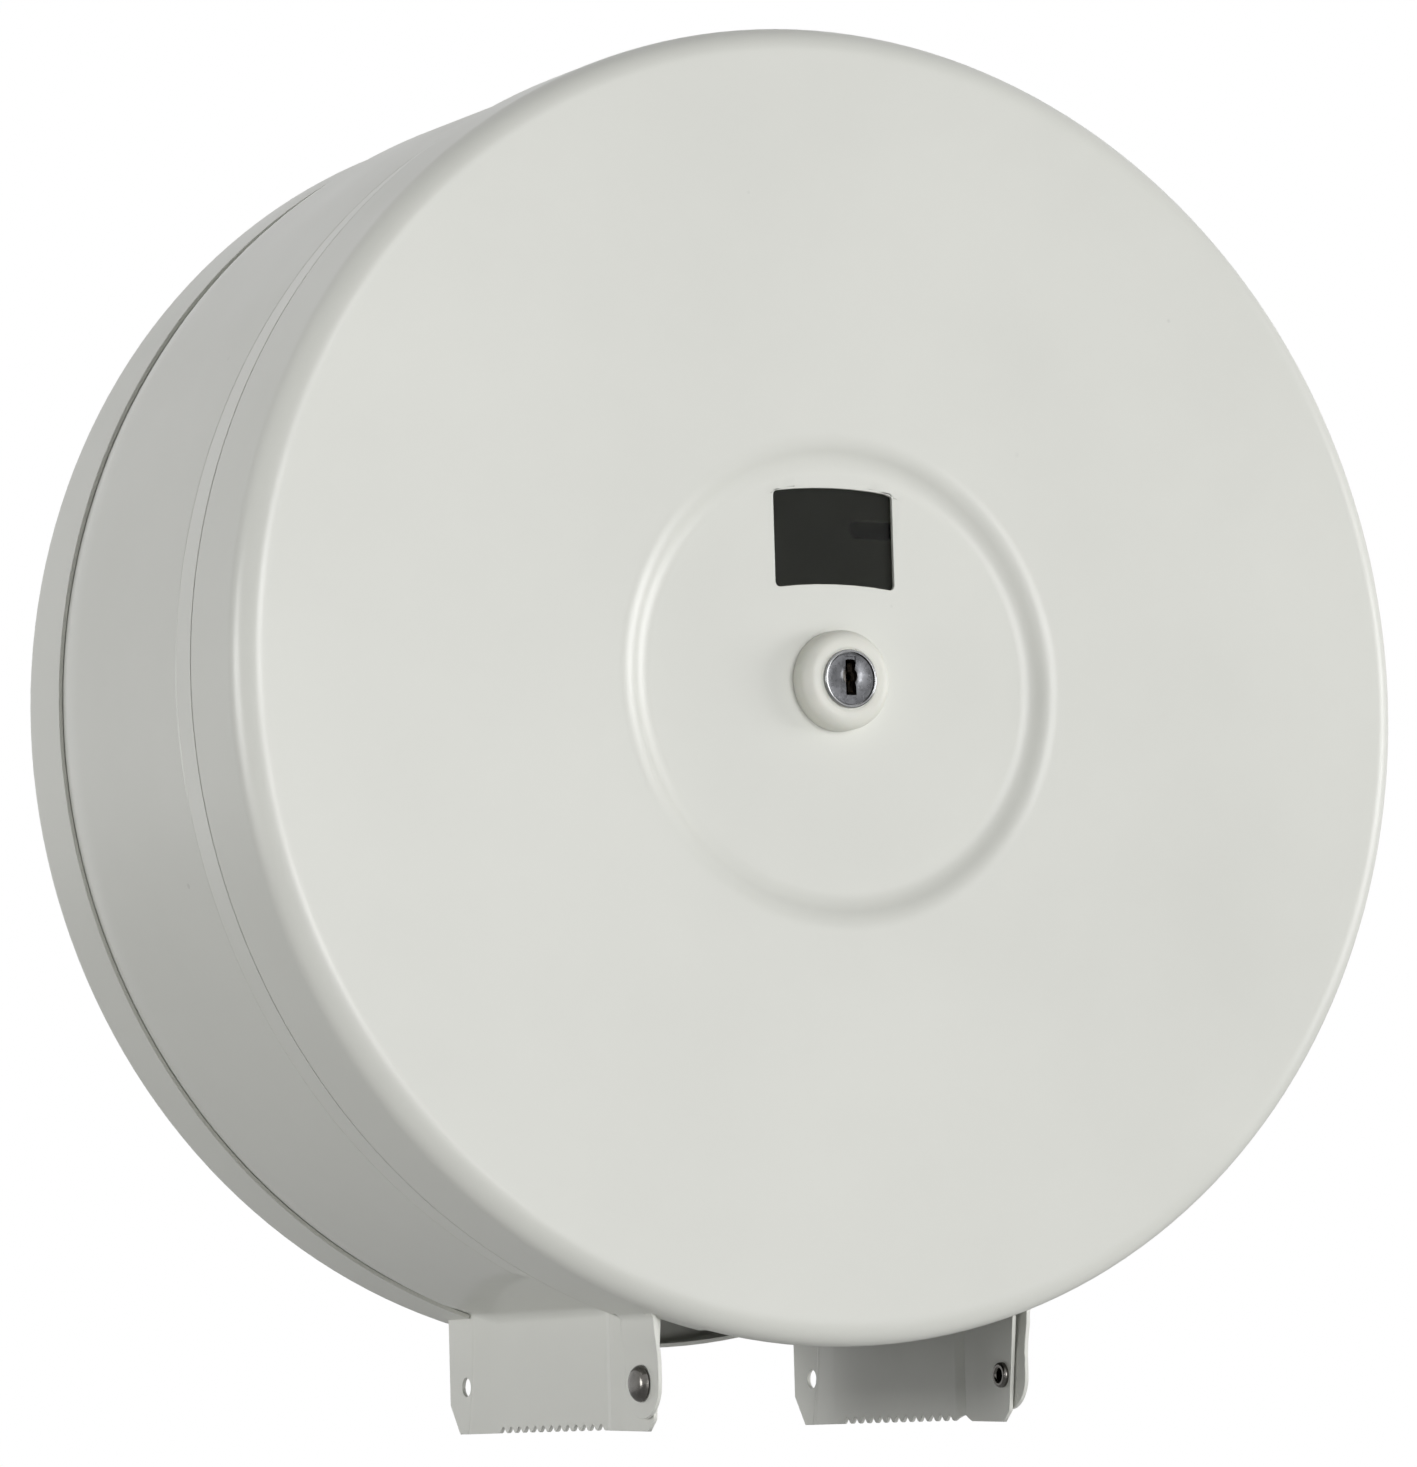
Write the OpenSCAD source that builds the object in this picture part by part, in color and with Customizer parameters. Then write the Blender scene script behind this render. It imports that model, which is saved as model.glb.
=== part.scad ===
// Wall-held round dispenser for a large roll of paper. A rear pan, a side band whose two ends
// are turned down into serrated tear blades, and a front cover that hinges down on two rivets.
// Frame: origin at the middle of the pan's back on the wall plane, +Z up, front towards -Y.
// Heights h in turned profiles are distances in front of the wall.

/* [Drum] */
// Outside diameter of the front cover's skirt
cover_diameter = 310; // [300:1:320]
// Distance from the wall to the cover's front face
drum_depth = 126; // [122:1:130]
// Thickness of the steel sheet
sheet = 1.0; // [0.8:0.1:1.1]

/* [Rear pan] */
// Depth of the pan's skirt, measured from the wall
pan_skirt = 19.5; // [17:0.5:21]
// Corner radius between the pan's back and skirt
pan_corner = 3; // [2:0.5:4]
// Hole-to-hole distance of the fixing slots across the width
slot_spacing_x = 167; // [150:1:180]
// Hole-to-hole distance of the fixing slots up the height
slot_spacing_z = 107; // [90:1:120]
// End-to-end length of a fixing slot
slot_length = 20; // [14:1:24]
// Width of a fixing slot
slot_width = 4.7; // [4.5:0.1:6]

/* [Side band and tear blades] */
// Distance between the outside faces of the two tear blades at mid depth
blade_span = 95.2; // [90:0.2:100]
// Distance from the drum's axis down to the blades' lower edge
blade_reach = 172.8; // [171:0.2:176]
// Number of teeth on each blade
tooth_count = 13; // [9:1:17]
// Depth of the cut between two teeth
tooth_depth = 1.5; // [1:0.1:2]
// Radius of the bend between the band and a blade
band_bend = 6; // [4:0.5:8]
// Diameter of the hole in each blade's rear corner
corner_hole = 4.6; // [4:0.1:5]

/* [Front cover] */
// Depth of the cover's skirt behind the front face
cover_skirt = 26; // [25:0.2:27]
// Outside radius of the rounded front edge
cover_edge = 6; // [4:0.5:8]
// Radius of the dish's upper rim in the front face
dish_radius = 59; // [57:0.5:61]
// Depth of the dish
dish_depth = 3; // [2:0.2:3.4]
// Width of the window
window_width = 31.9; // [26:0.1:33]
// Height of the window
window_height = 22.7; // [18:0.1:23]

/* [Hinge] */
// Distance from the wall to the hinge axis
hinge_h = 109.5; // [109:0.1:110]
// Distance from the drum's axis down to the hinge axis
hinge_drop = 162.3; // [162:0.1:163]
// Radius of a hinge rivet's shank
rivet_shank = 2.5; // [2:0.1:2.8]
// Running clearance between a rivet's shank and the ear
rivet_play = 0.06; // [0.03:0.01:0.1]

/* [Lock] */
// Outside radius of the lock's plastic boss
boss_radius = 11.8; // [11:0.1:13]
// Radius of the lock barrel's body
barrel_radius = 6; // [5.8:0.1:6.2]
// Radius of the turning plug
plug_radius = 4.6; // [4.4:0.1:4.8]
// Length of the locking bar
cam_length = 18; // [16:0.5:19]

/* [Spindle] */
// Outside radius of the fixed spindle tube
tube_radius = 17; // [16:0.5:18]
// Outside radius of the turning roll hub
hub_radius = 22; // [21:0.5:23]

/* [Hidden] */
$fn = 96;
eps = 0.01;
big = 400;

cover_r = cover_diameter / 2;
band_r = cover_r - 1;
bead_r = cover_r - 0.1;
pan_r = cover_r - 2;
rear_neck_r = pan_r - sheet - 0.3;
front_neck_r = cover_r - 3;

band_back = 4;
shoulder_start = pan_skirt + 0.5;
shoulder_end = shoulder_start + 13;
crease_h = drum_depth - 36.5;
bead_h = drum_depth - cover_skirt - 0.7;
band_front = drum_depth - 20;

blade_x = blade_span / 2;
blade_back = 7.4;
blade_front = drum_depth - 13.8;
front_slant = 2.8;
blade_rear_flare = 0.6;
blade_front_flare = 0.4;
blade_top = cover_r - 15;
free_top = cover_r - 8;
chamfer_rear_h = 5;
chamfer_rear_z = 7.1;
chamfer_front_h = 3;
chamfer_front_z = 2.6;
tooth_from = shoulder_end - 0.6;
tooth_to = crease_h - 2.6;
tooth_pitch = (tooth_to - tooth_from) / tooth_count;
tooth_cut = 0.32 * tooth_pitch;
front_drop = 0.55;
notch_half = 3.8;
notch_h = tooth_to + notch_half;
notch_rise = 1.45;
corner_hole_h = 16.3;
corner_hole_z = -161.5;
slit_play = 0.4;

cover_back = drum_depth - cover_skirt;
ear_gap = 0.4;
ear_in = blade_x + blade_front_flare + ear_gap;
ear_out = ear_in + sheet;
ear_r = 8.2;
ear_bend = 2;
lip_h = drum_depth - 11;
lip_mid_h = drum_depth - 7.5;
lip_mid_x = 37;
dish_floor = drum_depth - dish_depth;
dish_slope = 9.7;
window_low = 21.85;
window_x = 0.3;
window_bow = 1.1;
window_corner = 1.2;
arc_steps = 8;
dish_steps = 8;

pane_half = 24;
pane_low = 18;
pane_top = 47;
pane_edge_r = dish_radius - dish_slope - 1.5;
pane_thick = 1.5;
pane_front = dish_floor - sheet;
stud_x = 20.5;
stud_z = 33;
stud_r = 1.5;
stud_len = 5;
push_nut_r = 3.4;
push_nut_thick = 0.6;

boss_top = drum_depth + 3.2;
boss_rim = 3;
boss_front_r = 8.6;
boss_steps = 10;
rim_r = 7;
lock_face = drum_depth + 4;
rim_back = boss_top;
barrel_back = drum_depth - 26;
barrel_flat = barrel_radius - 0.6;
hole_play = 0.1;
plug_play = 0.05;
plug_face = lock_face - 0.3;
face_disc_r = barrel_radius + 0.1;
face_disc_thick = 0.25;
face_disc_play = 0.1;
tail_half = 2.5;
tail_back = 89.9;
keyway_w = 2.7;
keyway_h = 7.4;
keyway_lift = 0.7;
keyway_mouth_h = 9.1;
keyway_bulge_r = 2.5;
keyway_depth = 20;
wafer_count = 5;
wafer_pitch = 3;
wafer_thick = 0.8;
wafer_front = lock_face - 7;
wafer_half_x = 2.8;
wafer_half_z = 3.6;
wafer_play = 0.05;
washer_r = 10;
washer_thick = 1;
nut_across = 17;
nut_thick = 4;
cam_front = 93;
cam_thick = 2.5;
cam_half_w = 3.2;
spring_washer_thick = 0.7;
spring_washer_r = 3.1;
screw_head_r = 3;
screw_head_len = 1.9;
screw_r = 1.4;
screw_len = 7;

flange_r = 33;
flange_thick = 2;
tube_wall = 1.5;
tube_front = 95;
keeper_front = 97;
keeper_r = tube_radius + 2.5;
keeper_plug_len = 3;
keeper_slot_half_w = 3.8;
keeper_slot_half_h = 11;
hub_back = sheet + flange_thick + 0.4;
hub_front = tube_front - 0.4;
hub_play = 0.06;
spindle_rivet_ring = 28;
spindle_rivet_r = 2;
spindle_head_r = 3.4;
spindle_head_len = 1.2;

head_r = 4.3;
head_len = 2;
head_gap = 0.3;
tail_ring_r = 3;
tail_ring_len = 1.2;
tail_bore_r = 1.5;
tail_bore_len = 4;

paint_rear = [0.80, 0.81, 0.78];
paint_side = [0.82, 0.83, 0.80];
paint_front = [0.86, 0.86, 0.84];
smoke = [0.20, 0.21, 0.19, 0.5];
ivory = [0.88, 0.88, 0.82];
nickel = [0.72, 0.70, 0.66];
steel = [0.62, 0.63, 0.65];
brass_tone = [0.78, 0.66, 0.36];
grey_plastic = [0.35, 0.36, 0.37];

// Turns a profile drawn as [radius, distance in front of the wall] about the drum's axis.
module turned(facets = 360) {
    rotate([90, 0, 0]) rotate_extrude($fn = facets) children();
}

// Stretches a shape drawn as [x, z] from one distance in front of the wall to another.
module across(h0, h1) {
    translate([0, -h0, 0]) rotate([90, 0, 0]) linear_extrude(h1 - h0) children();
}

// Stretches a shape drawn as [y, z] along X between two values.
module along_x(x0, x1) {
    translate([x0, 0, 0]) rotate([90, 0, 90]) linear_extrude(x1 - x0) children();
}

// A cylinder along X.
module rod_x(x0, x1, r, y, z) {
    translate([x0, y, z]) rotate([0, 90, 0]) cylinder(h = x1 - x0, r = r);
}

// A cylinder along Y between two distances in front of the wall.
module rod_y(h0, h1, r, x = 0, z = 0, facets = 96) {
    translate([x, -h0, z]) rotate([90, 0, 0]) cylinder(h = h1 - h0, r = r, $fn = facets);
}

// Centre of the bend that joins a drum of radius r to an upright face at x.
function bend_centre(r, x, bend) = [x + bend, -sqrt(pow(r + bend, 2) - pow(x + bend, 2))];

// The corner wedge that a bend fills, as points in [x, z].
function bend_wedge(r, x, bend, reach = 14) =
    let (c = bend_centre(r, x, bend), k = 1 - reach / (r + bend))
    [c, [c[0] - reach, c[1]], [c[0] * k - reach / 2, c[1] * k], [c[0] * k, c[1] * k]];

// A sheet bend between a drum and an upright face.
module sheet_bend(r, x, bend, h0, h1) {
    c = bend_centre(r, x, bend);
    intersection() {
        difference() {
            rod_y(h0, h1, bend + sheet, c[0], c[1]);
            rod_y(h0 - 1, h1 + 1, bend, c[0], c[1]);
        }
        across(h0, h1) polygon(bend_wedge(r, x, bend));
    }
}

module mirrored_x() {
    children();
    mirror([1, 0, 0]) children();
}

module slot_shape(len, w) {
    half = (len - w) / 2;
    for (s = [-1, 1]) translate([s * half, 0]) circle(d = w);
    square([len - w, w], center = true);
}

// Rear pan: flat back with four fixing slots, rounded corner and a skirt slit for the blades.
module rear_pan_profile() {
    square([pan_r - pan_corner, sheet]);
    translate([pan_r - sheet, pan_corner]) square([sheet, pan_skirt - pan_corner]);
    translate([pan_r - pan_corner, pan_corner]) intersection() {
        difference() {
            circle(r = pan_corner);
            circle(r = pan_corner - sheet);
        }
        translate([0, -pan_corner]) square(pan_corner);
    }
}

module rear_pan() {
    slit_x = blade_x + blade_rear_flare;
    color(paint_rear) difference() {
        turned() rear_pan_profile();
        for (sx = [-1, 1], sz = [-1, 1])
            across(-1, sheet + 1)
                translate([sx * slot_spacing_x / 2, sz * slot_spacing_z / 2])
                    slot_shape(slot_length, slot_width);
        for (a = [45 : 90 : 315])
            rod_y(-1, sheet + 1, spindle_rivet_r, spindle_rivet_ring * cos(a), spindle_rivet_ring * sin(a));
        mirrored_x() along_x(slit_x - sheet - slit_play, slit_x + slit_play)
            translate([-pan_skirt - 1, -cover_r])
                square([pan_skirt + 1 - blade_back + slit_play, 20]);
    }
}

// Side band: one sheet that is necked at the rear, beaded at the front and turned down twice.
function shoulder_point(t) = [rear_neck_r + (band_r - rear_neck_r) * (1 - pow(1 - t, 2)),
    shoulder_start + (shoulder_end - shoulder_start) * t];

function band_outer() = [[rear_neck_r, band_back], shoulder_point(0), shoulder_point(1 / 4),
    shoulder_point(1 / 2), shoulder_point(3 / 4),
    [band_r, shoulder_end], [band_r, crease_h], [bead_r, bead_h], [front_neck_r, bead_h],
    [front_neck_r, band_front]];

function band_inner() = [[front_neck_r - sheet, band_front], [front_neck_r - sheet, bead_h - sheet],
    [bead_r - sheet, bead_h - sheet], [band_r - sheet, crease_h], [band_r - sheet, shoulder_end],
    for (t = [3 / 4, 1 / 2, 1 / 4, 0]) shoulder_point(t) - [sheet, 0],
    [rear_neck_r - sheet, band_back]];

// Half width of the blades' faces along the depth, as [x, distance in front of the wall].
function blade_line(inset) = [[blade_x + blade_rear_flare - inset, 0],
    [blade_x + blade_rear_flare - inset, shoulder_start], [blade_x - inset, shoulder_end],
    [blade_x - inset, crease_h], [blade_x + blade_front_flare - inset, bead_h - 2],
    [blade_x + blade_front_flare - inset, drum_depth]];

function reversed(list) = [for (i = [len(list) - 1 : -1 : 0]) list[i]];
function to_plan(list) = [for (p = list) [p[0], -p[1]]];

// Cuts between the teeth, as [y, z].
function tooth_points() = [for (i = [0 : tooth_count - 1], k = [-1, 0, 1])
    [-(tooth_from + (i + 1 / 2) * tooth_pitch + k * tooth_cut),
        -blade_reach + (k == 0 ? tooth_depth : 0)]];

// Wide shallow notch after the last tooth of the right blade.
function notch_points() = [for (i = [-arc_steps : arc_steps - 1])
    let (t = i / arc_steps)
    [-(notch_h + notch_half * t), -blade_reach + notch_rise * (1 - pow(abs(t), 1.3))]];

function blade_outline(notched) = concat(
    [[-blade_back, -blade_top], [-blade_back, -blade_reach + chamfer_rear_z],
        [-blade_back - chamfer_rear_h, -blade_reach]],
    tooth_points(), notched ? notch_points() : [],
    [[-notch_h - notch_half, -blade_reach], [-blade_front + chamfer_front_h, -blade_reach - front_drop],
        [-blade_front, -blade_reach - front_drop + chamfer_front_z],
        [-blade_front - front_slant, -free_top - 2], [-blade_front - front_slant + 2, -free_top],
        [-band_front - 0.5, -free_top],
        [-band_front - 0.5, -blade_top]]);

module blade(notched) {
    intersection() {
        translate([0, 0, -big / 2]) linear_extrude(big / 2)
            polygon(concat(to_plan(blade_line(0)), reversed(to_plan(blade_line(sheet)))));
        along_x(0, big) polygon(blade_outline(notched));
    }
}

module side_band() {
    color(paint_side) difference() {
        union() {
            difference() {
                union() {
                    difference() {
                        turned(240) polygon(concat(band_outer(), band_inner()));
                        mirrored_x() translate([0, 0, -big / 2]) linear_extrude(big / 2)
                            polygon(concat([[-eps, 0]], to_plan(blade_line(sheet)), [[-eps, -drum_depth]]));
                    }
                    difference() {
                        union() {
                            blade(true);
                            mirror([1, 0, 0]) blade(false);
                        }
                        turned(240) polygon(concat([[0, -1], [rear_neck_r - sheet, -1]],
                            reversed(band_inner()), [[0, band_front]]));
                    }
                }
                mirrored_x() across(shoulder_end, crease_h)
                    polygon(bend_wedge(band_r, blade_x, band_bend));
            }
            mirrored_x() sheet_bend(band_r, blade_x, band_bend, shoulder_end, crease_h);
        }
        rod_x(-big / 2, big / 2, corner_hole / 2, -corner_hole_h, corner_hole_z);
        rod_x(-big / 2, big / 2, rivet_shank, -hinge_h, -hinge_drop);
    }
}

// Front cover: pressed face with a dish, a window and a lock hole, a skirt and two hinge ears.
function dish_line(drop) = [for (i = [0 : dish_steps])
    let (t = i / dish_steps)
    [dish_radius - dish_slope * (1 - t), dish_floor - drop + dish_depth * t * t * (3 - 2 * t)]];

module cover_profile() {
    flat_r = cover_r - cover_edge;
    polygon(concat([[0, dish_floor]], dish_line(0),
        [[flat_r, drum_depth], [flat_r, drum_depth - sheet]],
        reversed(dish_line(sheet)), [[0, dish_floor - sheet]]));
    translate([cover_r - sheet, cover_back])
        square([sheet, drum_depth - cover_edge - cover_back]);
    translate([cover_r - cover_edge, drum_depth - cover_edge]) intersection() {
        difference() {
            circle(r = cover_edge);
            circle(r = cover_edge - sheet);
        }
        square(cover_edge);
    }
}

// Bowed line of the window's upper or lower side at x.
function bow(x) = window_bow * (1 - pow(2 * x / window_width, 2));

function window_corner_points(sx, sz) = [for (i = [0 : arc_steps / 2])
    let (a = 90 * i / (arc_steps / 2),
        x = window_width / 2 - window_corner * (1 - (sz * sx > 0 ? cos(a) : sin(a))),
        d = window_corner * (1 - (sz * sx > 0 ? sin(a) : cos(a))))
    [window_x + sx * x, window_low + (sz > 0 ? window_height - d : d) + bow(x)]];

function bow_points(sz) = [for (i = [-3 : 3])
    let (x = -sz * i * window_width / 8)
    [window_x + x, window_low + (sz > 0 ? window_height : 0) + bow(x)]];

module cover_ear() {
    difference() {
        union() {
            along_x(ear_in, ear_out) {
                translate([-hinge_h - ear_r, -hinge_drop])
                    square([2 * ear_r, hinge_drop - blade_top]);
                translate([-hinge_h, -hinge_drop]) circle(r = ear_r);
            }
        }
        turned() translate([0, cover_back - 1]) square([cover_r - sheet, cover_skirt + 2]);
        across(cover_back - 1, drum_depth) polygon(bend_wedge(cover_r, ear_out, ear_bend));
    }
    sheet_bend(cover_r, ear_out, ear_bend, hinge_h - ear_r, hinge_h + ear_r);
}

module front_cover() {
    color(paint_front) difference() {
        union() {
            difference() {
                turned() cover_profile();
                translate([-ear_in, -lip_h, -big / 2]) cube([2 * ear_in, lip_h, big / 2]);
                translate([-lip_mid_x, -lip_mid_h, -big / 2]) cube([2 * lip_mid_x, lip_mid_h, big / 2]);
                mirrored_x() across(hinge_h - ear_r, hinge_h + ear_r)
                    polygon(bend_wedge(cover_r, ear_out, ear_bend));
            }
            mirrored_x() cover_ear();
        }
        rod_x(-big / 2, big / 2, rivet_shank + rivet_play, -hinge_h, -hinge_drop);
        across(dish_floor - 2, drum_depth + 1)
            polygon(concat(window_corner_points(1, 1), bow_points(1), window_corner_points(-1, 1),
                window_corner_points(-1, -1), bow_points(-1), window_corner_points(1, -1)));
        lock_hole();
        for (sx = [-1, 1]) rod_y(dish_floor - 2, dish_floor + 1, stud_r, sx * stud_x, stud_z);
    }
}

module lock_hole() {
    intersection() {
        rod_y(dish_floor - 2, dish_floor + 1, barrel_radius + hole_play);
        across(dish_floor - 2, dish_floor + 1)
            square([2 * (barrel_flat + hole_play), big], center = true);
    }
}

// Smoked pane behind the window, on two studs with push-on nuts.
module window_pane() {
    color(smoke) difference() {
        intersection() {
            across(pane_front - pane_thick, pane_front)
                translate([-pane_half, pane_low]) square([2 * pane_half, pane_top - pane_low]);
            rod_y(pane_front - pane_thick, pane_front, pane_edge_r);
        }
        for (sx = [-1, 1])
            rod_y(pane_front - pane_thick - 1, pane_front + 1, stud_r + hole_play, sx * stud_x, stud_z);
    }
}

module pane_studs() {
    color(steel) for (sx = [-1, 1])
        rod_y(dish_floor - stud_len, dish_floor, stud_r, sx * stud_x, stud_z);
}

module pane_push_nuts() {
    back = pane_front - pane_thick;
    color(steel) for (sx = [-1, 1]) difference() {
        rod_y(back - push_nut_thick, back, push_nut_r, sx * stud_x, stud_z);
        rod_y(back - 1, back + 1, stud_r, sx * stud_x, stud_z);
    }
}

// Lock: plastic boss, barrel, turning plug with wafers and tail, washer, nut, bar and screw.
module lock_boss() {
    bore = barrel_radius + hole_play;
    side = boss_top - dish_floor - boss_rim;
    dome = [for (i = [0 : boss_steps]) let (a = 90 * i / boss_steps)
        [boss_front_r + (boss_radius - boss_front_r) * cos(a), dish_floor + boss_rim + side * sin(a)]];
    color(ivory) turned(96)
        polygon(concat([[bore, dish_floor], [boss_radius, dish_floor]], dome, [[bore, boss_top]]));
}

module lock_barrel() {
    color(nickel) difference() {
        union() {
            rod_y(rim_back, lock_face, rim_r);
            intersection() {
                rod_y(barrel_back, rim_back, barrel_radius);
                across(barrel_back, rim_back) square([2 * barrel_flat, big], center = true);
            }
        }
        rod_y(barrel_back - 1, lock_face + 1, plug_radius + plug_play);
        rod_y(plug_face - face_disc_thick - face_disc_play, lock_face + 1, face_disc_r + face_disc_play);
    }
}

module keyway_shape(height) {
    translate([0, keyway_lift]) {
        square([keyway_w, height], center = true);
        circle(r = keyway_bulge_r);
    }
}

module lock_plug() {
    color(steel) difference() {
        union() {
            rod_y(barrel_back - 0.5, plug_face, plug_radius);
            rod_y(plug_face - face_disc_thick, plug_face, face_disc_r);
            across(tail_back, barrel_back) square(2 * tail_half, center = true);
        }
        across(plug_face - keyway_depth, plug_face + 1) keyway_shape(keyway_h);
        across(plug_face - face_disc_thick - 0.2, plug_face + 1) keyway_shape(keyway_mouth_h);
        for (i = [0 : wafer_count - 1])
            across(wafer_front - i * wafer_pitch - wafer_thick - wafer_play,
                wafer_front - i * wafer_pitch + wafer_play)
                square([2 * (wafer_half_x + wafer_play), 2 * (wafer_half_z + wafer_play)], center = true);
        rod_y(tail_back - 1, tail_back + screw_len, screw_r);
    }
}

module lock_wafers() {
    color(brass_tone) for (i = [0 : wafer_count - 1])
        across(wafer_front - i * wafer_pitch - wafer_thick, wafer_front - i * wafer_pitch)
            difference() {
                square([2 * wafer_half_x, 2 * wafer_half_z], center = true);
                translate([0, (i % 2) * 0.6 - 0.3]) square([keyway_w, 3.6], center = true);
            }
}

module lock_washer() {
    color(steel) difference() {
        rod_y(pane_front - washer_thick, pane_front, washer_r);
        rod_y(pane_front - washer_thick - 1, pane_front + 1, barrel_radius + hole_play);
    }
}

module lock_nut() {
    front = pane_front - washer_thick;
    color(nickel) difference() {
        rod_y(front - nut_thick, front, nut_across / sqrt(3), 0, 0, 6);
        rod_y(front - nut_thick - 1, front + 1, barrel_radius);
    }
}

module lock_cam() {
    color(steel) across(cam_front - cam_thick, cam_front) difference() {
        union() {
            square([2 * cam_half_w, cam_length - 2 * cam_half_w], center = true);
            for (s = [-1, 1]) translate([0, s * (cam_length / 2 - cam_half_w)]) circle(r = cam_half_w);
        }
        square(2 * tail_half, center = true);
    }
}

module cam_spring_washer() {
    back = tail_back - spring_washer_thick;
    color(steel) difference() {
        rod_y(back, tail_back, spring_washer_r);
        rod_y(back - 1, tail_back + 1, screw_r);
        across(back - 1, tail_back + 1) square([spring_washer_r + 1, 0.6]);
    }
}

module cam_screw() {
    back = tail_back - spring_washer_thick;
    color(steel) difference() {
        union() {
            rod_y(back - screw_head_len, back, screw_head_r);
            rod_y(back, tail_back + screw_len - 1, screw_r);
        }
        across(back - screw_head_len - 1, back - screw_head_len + 1) {
            square([0.8, 4], center = true);
            square([4, 0.8], center = true);
        }
    }
}

// Spindle: flange riveted to the pan, tube, slotted keeper for the lock's bar and a turning hub.
module spindle_flange() {
    color(steel) difference() {
        rod_y(sheet, sheet + flange_thick, flange_r);
        for (a = [45 : 90 : 315])
            rod_y(0, sheet + flange_thick + 1, spindle_rivet_r,
                spindle_rivet_ring * cos(a), spindle_rivet_ring * sin(a));
    }
}

module spindle_rivets() {
    head = sheet + flange_thick;
    color(steel) for (a = [45 : 90 : 315])
        translate([spindle_rivet_ring * cos(a), 0, spindle_rivet_ring * sin(a)]) {
            rod_y(0, head, spindle_rivet_r);
            turned(48) intersection() {
                translate([0, head - 4.2]) circle(r = 5.4);
                translate([0, head]) square([spindle_head_r, spindle_head_len]);
            }
        }
}

module spindle_tube() {
    color(steel) difference() {
        rod_y(sheet + flange_thick, tube_front, tube_radius);
        rod_y(sheet + flange_thick - 1, tube_front + 1, tube_radius - tube_wall);
    }
}

module spindle_keeper() {
    color(steel) difference() {
        union() {
            rod_y(tube_front, keeper_front, keeper_r);
            difference() {
                rod_y(tube_front - keeper_plug_len, tube_front, tube_radius - tube_wall);
                rod_y(tube_front - keeper_plug_len - 1, tube_front, tube_radius - 2 * tube_wall);
            }
        }
        across(tube_front - keeper_plug_len - 1, keeper_front + 1)
            square([2 * keeper_slot_half_w, 2 * keeper_slot_half_h], center = true);
    }
}

module roll_hub() {
    color(grey_plastic) difference() {
        union() {
            rod_y(hub_back, hub_front - 1, hub_radius);
            translate([0, -hub_front + 1, 0]) rotate([90, 0, 0])
                cylinder(h = 1, r1 = hub_radius, r2 = hub_radius - 1);
        }
        rod_y(hub_back - 1, hub_front + 1, tube_radius + hub_play);
    }
}

// Hinge rivets: domed head outside the ear, shank through ear and blade, hollow end inside.
module hinge_rivet() {
    seat = ear_out + head_gap;
    inner = blade_x + blade_front_flare - sheet;
    dome_r = (head_r * head_r + head_len * head_len) / (2 * head_len);
    color(nickel) difference() {
        union() {
            rod_x(inner - tail_ring_len, seat + 0.1, rivet_shank, -hinge_h, -hinge_drop);
            rod_x(inner - tail_ring_len, inner, tail_ring_r, -hinge_h, -hinge_drop);
            translate([seat, -hinge_h, -hinge_drop]) rotate([0, 90, 0])
                rotate_extrude($fn = 96) intersection() {
                    translate([0, head_len - dome_r]) circle(r = dome_r, $fn = 160);
                    square([head_r, head_len]);
                }
        }
        rod_x(inner - tail_ring_len - 1, inner - tail_ring_len + tail_bore_len, tail_bore_r,
            -hinge_h, -hinge_drop);
    }
}

module hinge_rivet_left() {
    mirror([1, 0, 0]) hinge_rivet();
}

module hinge_rivet_right() {
    hinge_rivet();
}

rear_pan();
side_band();
front_cover();
window_pane();
pane_studs();
pane_push_nuts();
lock_boss();
lock_barrel();
lock_plug();
lock_wafers();
lock_washer();
lock_nut();
lock_cam();
cam_spring_washer();
cam_screw();
spindle_flange();
spindle_tube();
spindle_rivets();
spindle_keeper();
roll_hub();
hinge_rivet_left();
hinge_rivet_right();
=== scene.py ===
"""Wall-held round dispenser for a large paper roll: finished sheet metal, lock, hinge and spindle.

Shapes are drawn in millimetres as (x, h, z), where h is the distance in front of the wall.
"""

import math

import bmesh
import bpy
from mathutils import Matrix, Vector
from mathutils.geometry import delaunay_2d_cdt


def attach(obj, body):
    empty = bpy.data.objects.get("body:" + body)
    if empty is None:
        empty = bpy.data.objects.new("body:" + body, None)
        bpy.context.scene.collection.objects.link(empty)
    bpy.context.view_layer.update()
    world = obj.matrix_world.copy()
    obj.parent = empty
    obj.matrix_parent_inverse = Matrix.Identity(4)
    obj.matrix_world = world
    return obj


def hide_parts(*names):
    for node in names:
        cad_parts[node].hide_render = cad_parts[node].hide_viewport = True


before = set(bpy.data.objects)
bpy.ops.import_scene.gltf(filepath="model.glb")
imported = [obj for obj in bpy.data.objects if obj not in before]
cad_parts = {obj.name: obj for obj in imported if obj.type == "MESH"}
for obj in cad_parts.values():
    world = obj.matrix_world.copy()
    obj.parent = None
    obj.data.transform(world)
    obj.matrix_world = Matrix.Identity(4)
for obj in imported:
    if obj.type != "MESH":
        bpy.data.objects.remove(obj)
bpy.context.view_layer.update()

MM = 0.001
TAU = 2 * math.pi

# Drum, as in the part's source.
COVER_R = 155.0
BAND_R = 154.0
BEAD_R = 154.9
PAN_R = 153.0
REAR_NECK_R = 151.85
RECESS_R = 152.2
FRONT_NECK_R = 152.0
DEPTH = 126.0
SHEET = 1.0
HOLE_MARGIN = 0.5

# Rear pan.
PAN_SKIRT = 19.5
PAN_CORNER = 3.0
PAN_PLATE_R = 145.0
SLOT_X = 83.5
SLOT_Z = 53.5
SLOT_LENGTH = 20.0
SLOT_WIDTH = 4.7
SLIT_IN = 46.8
SLIT_OUT = 48.6
SLIT_BACK = 7.0

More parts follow.
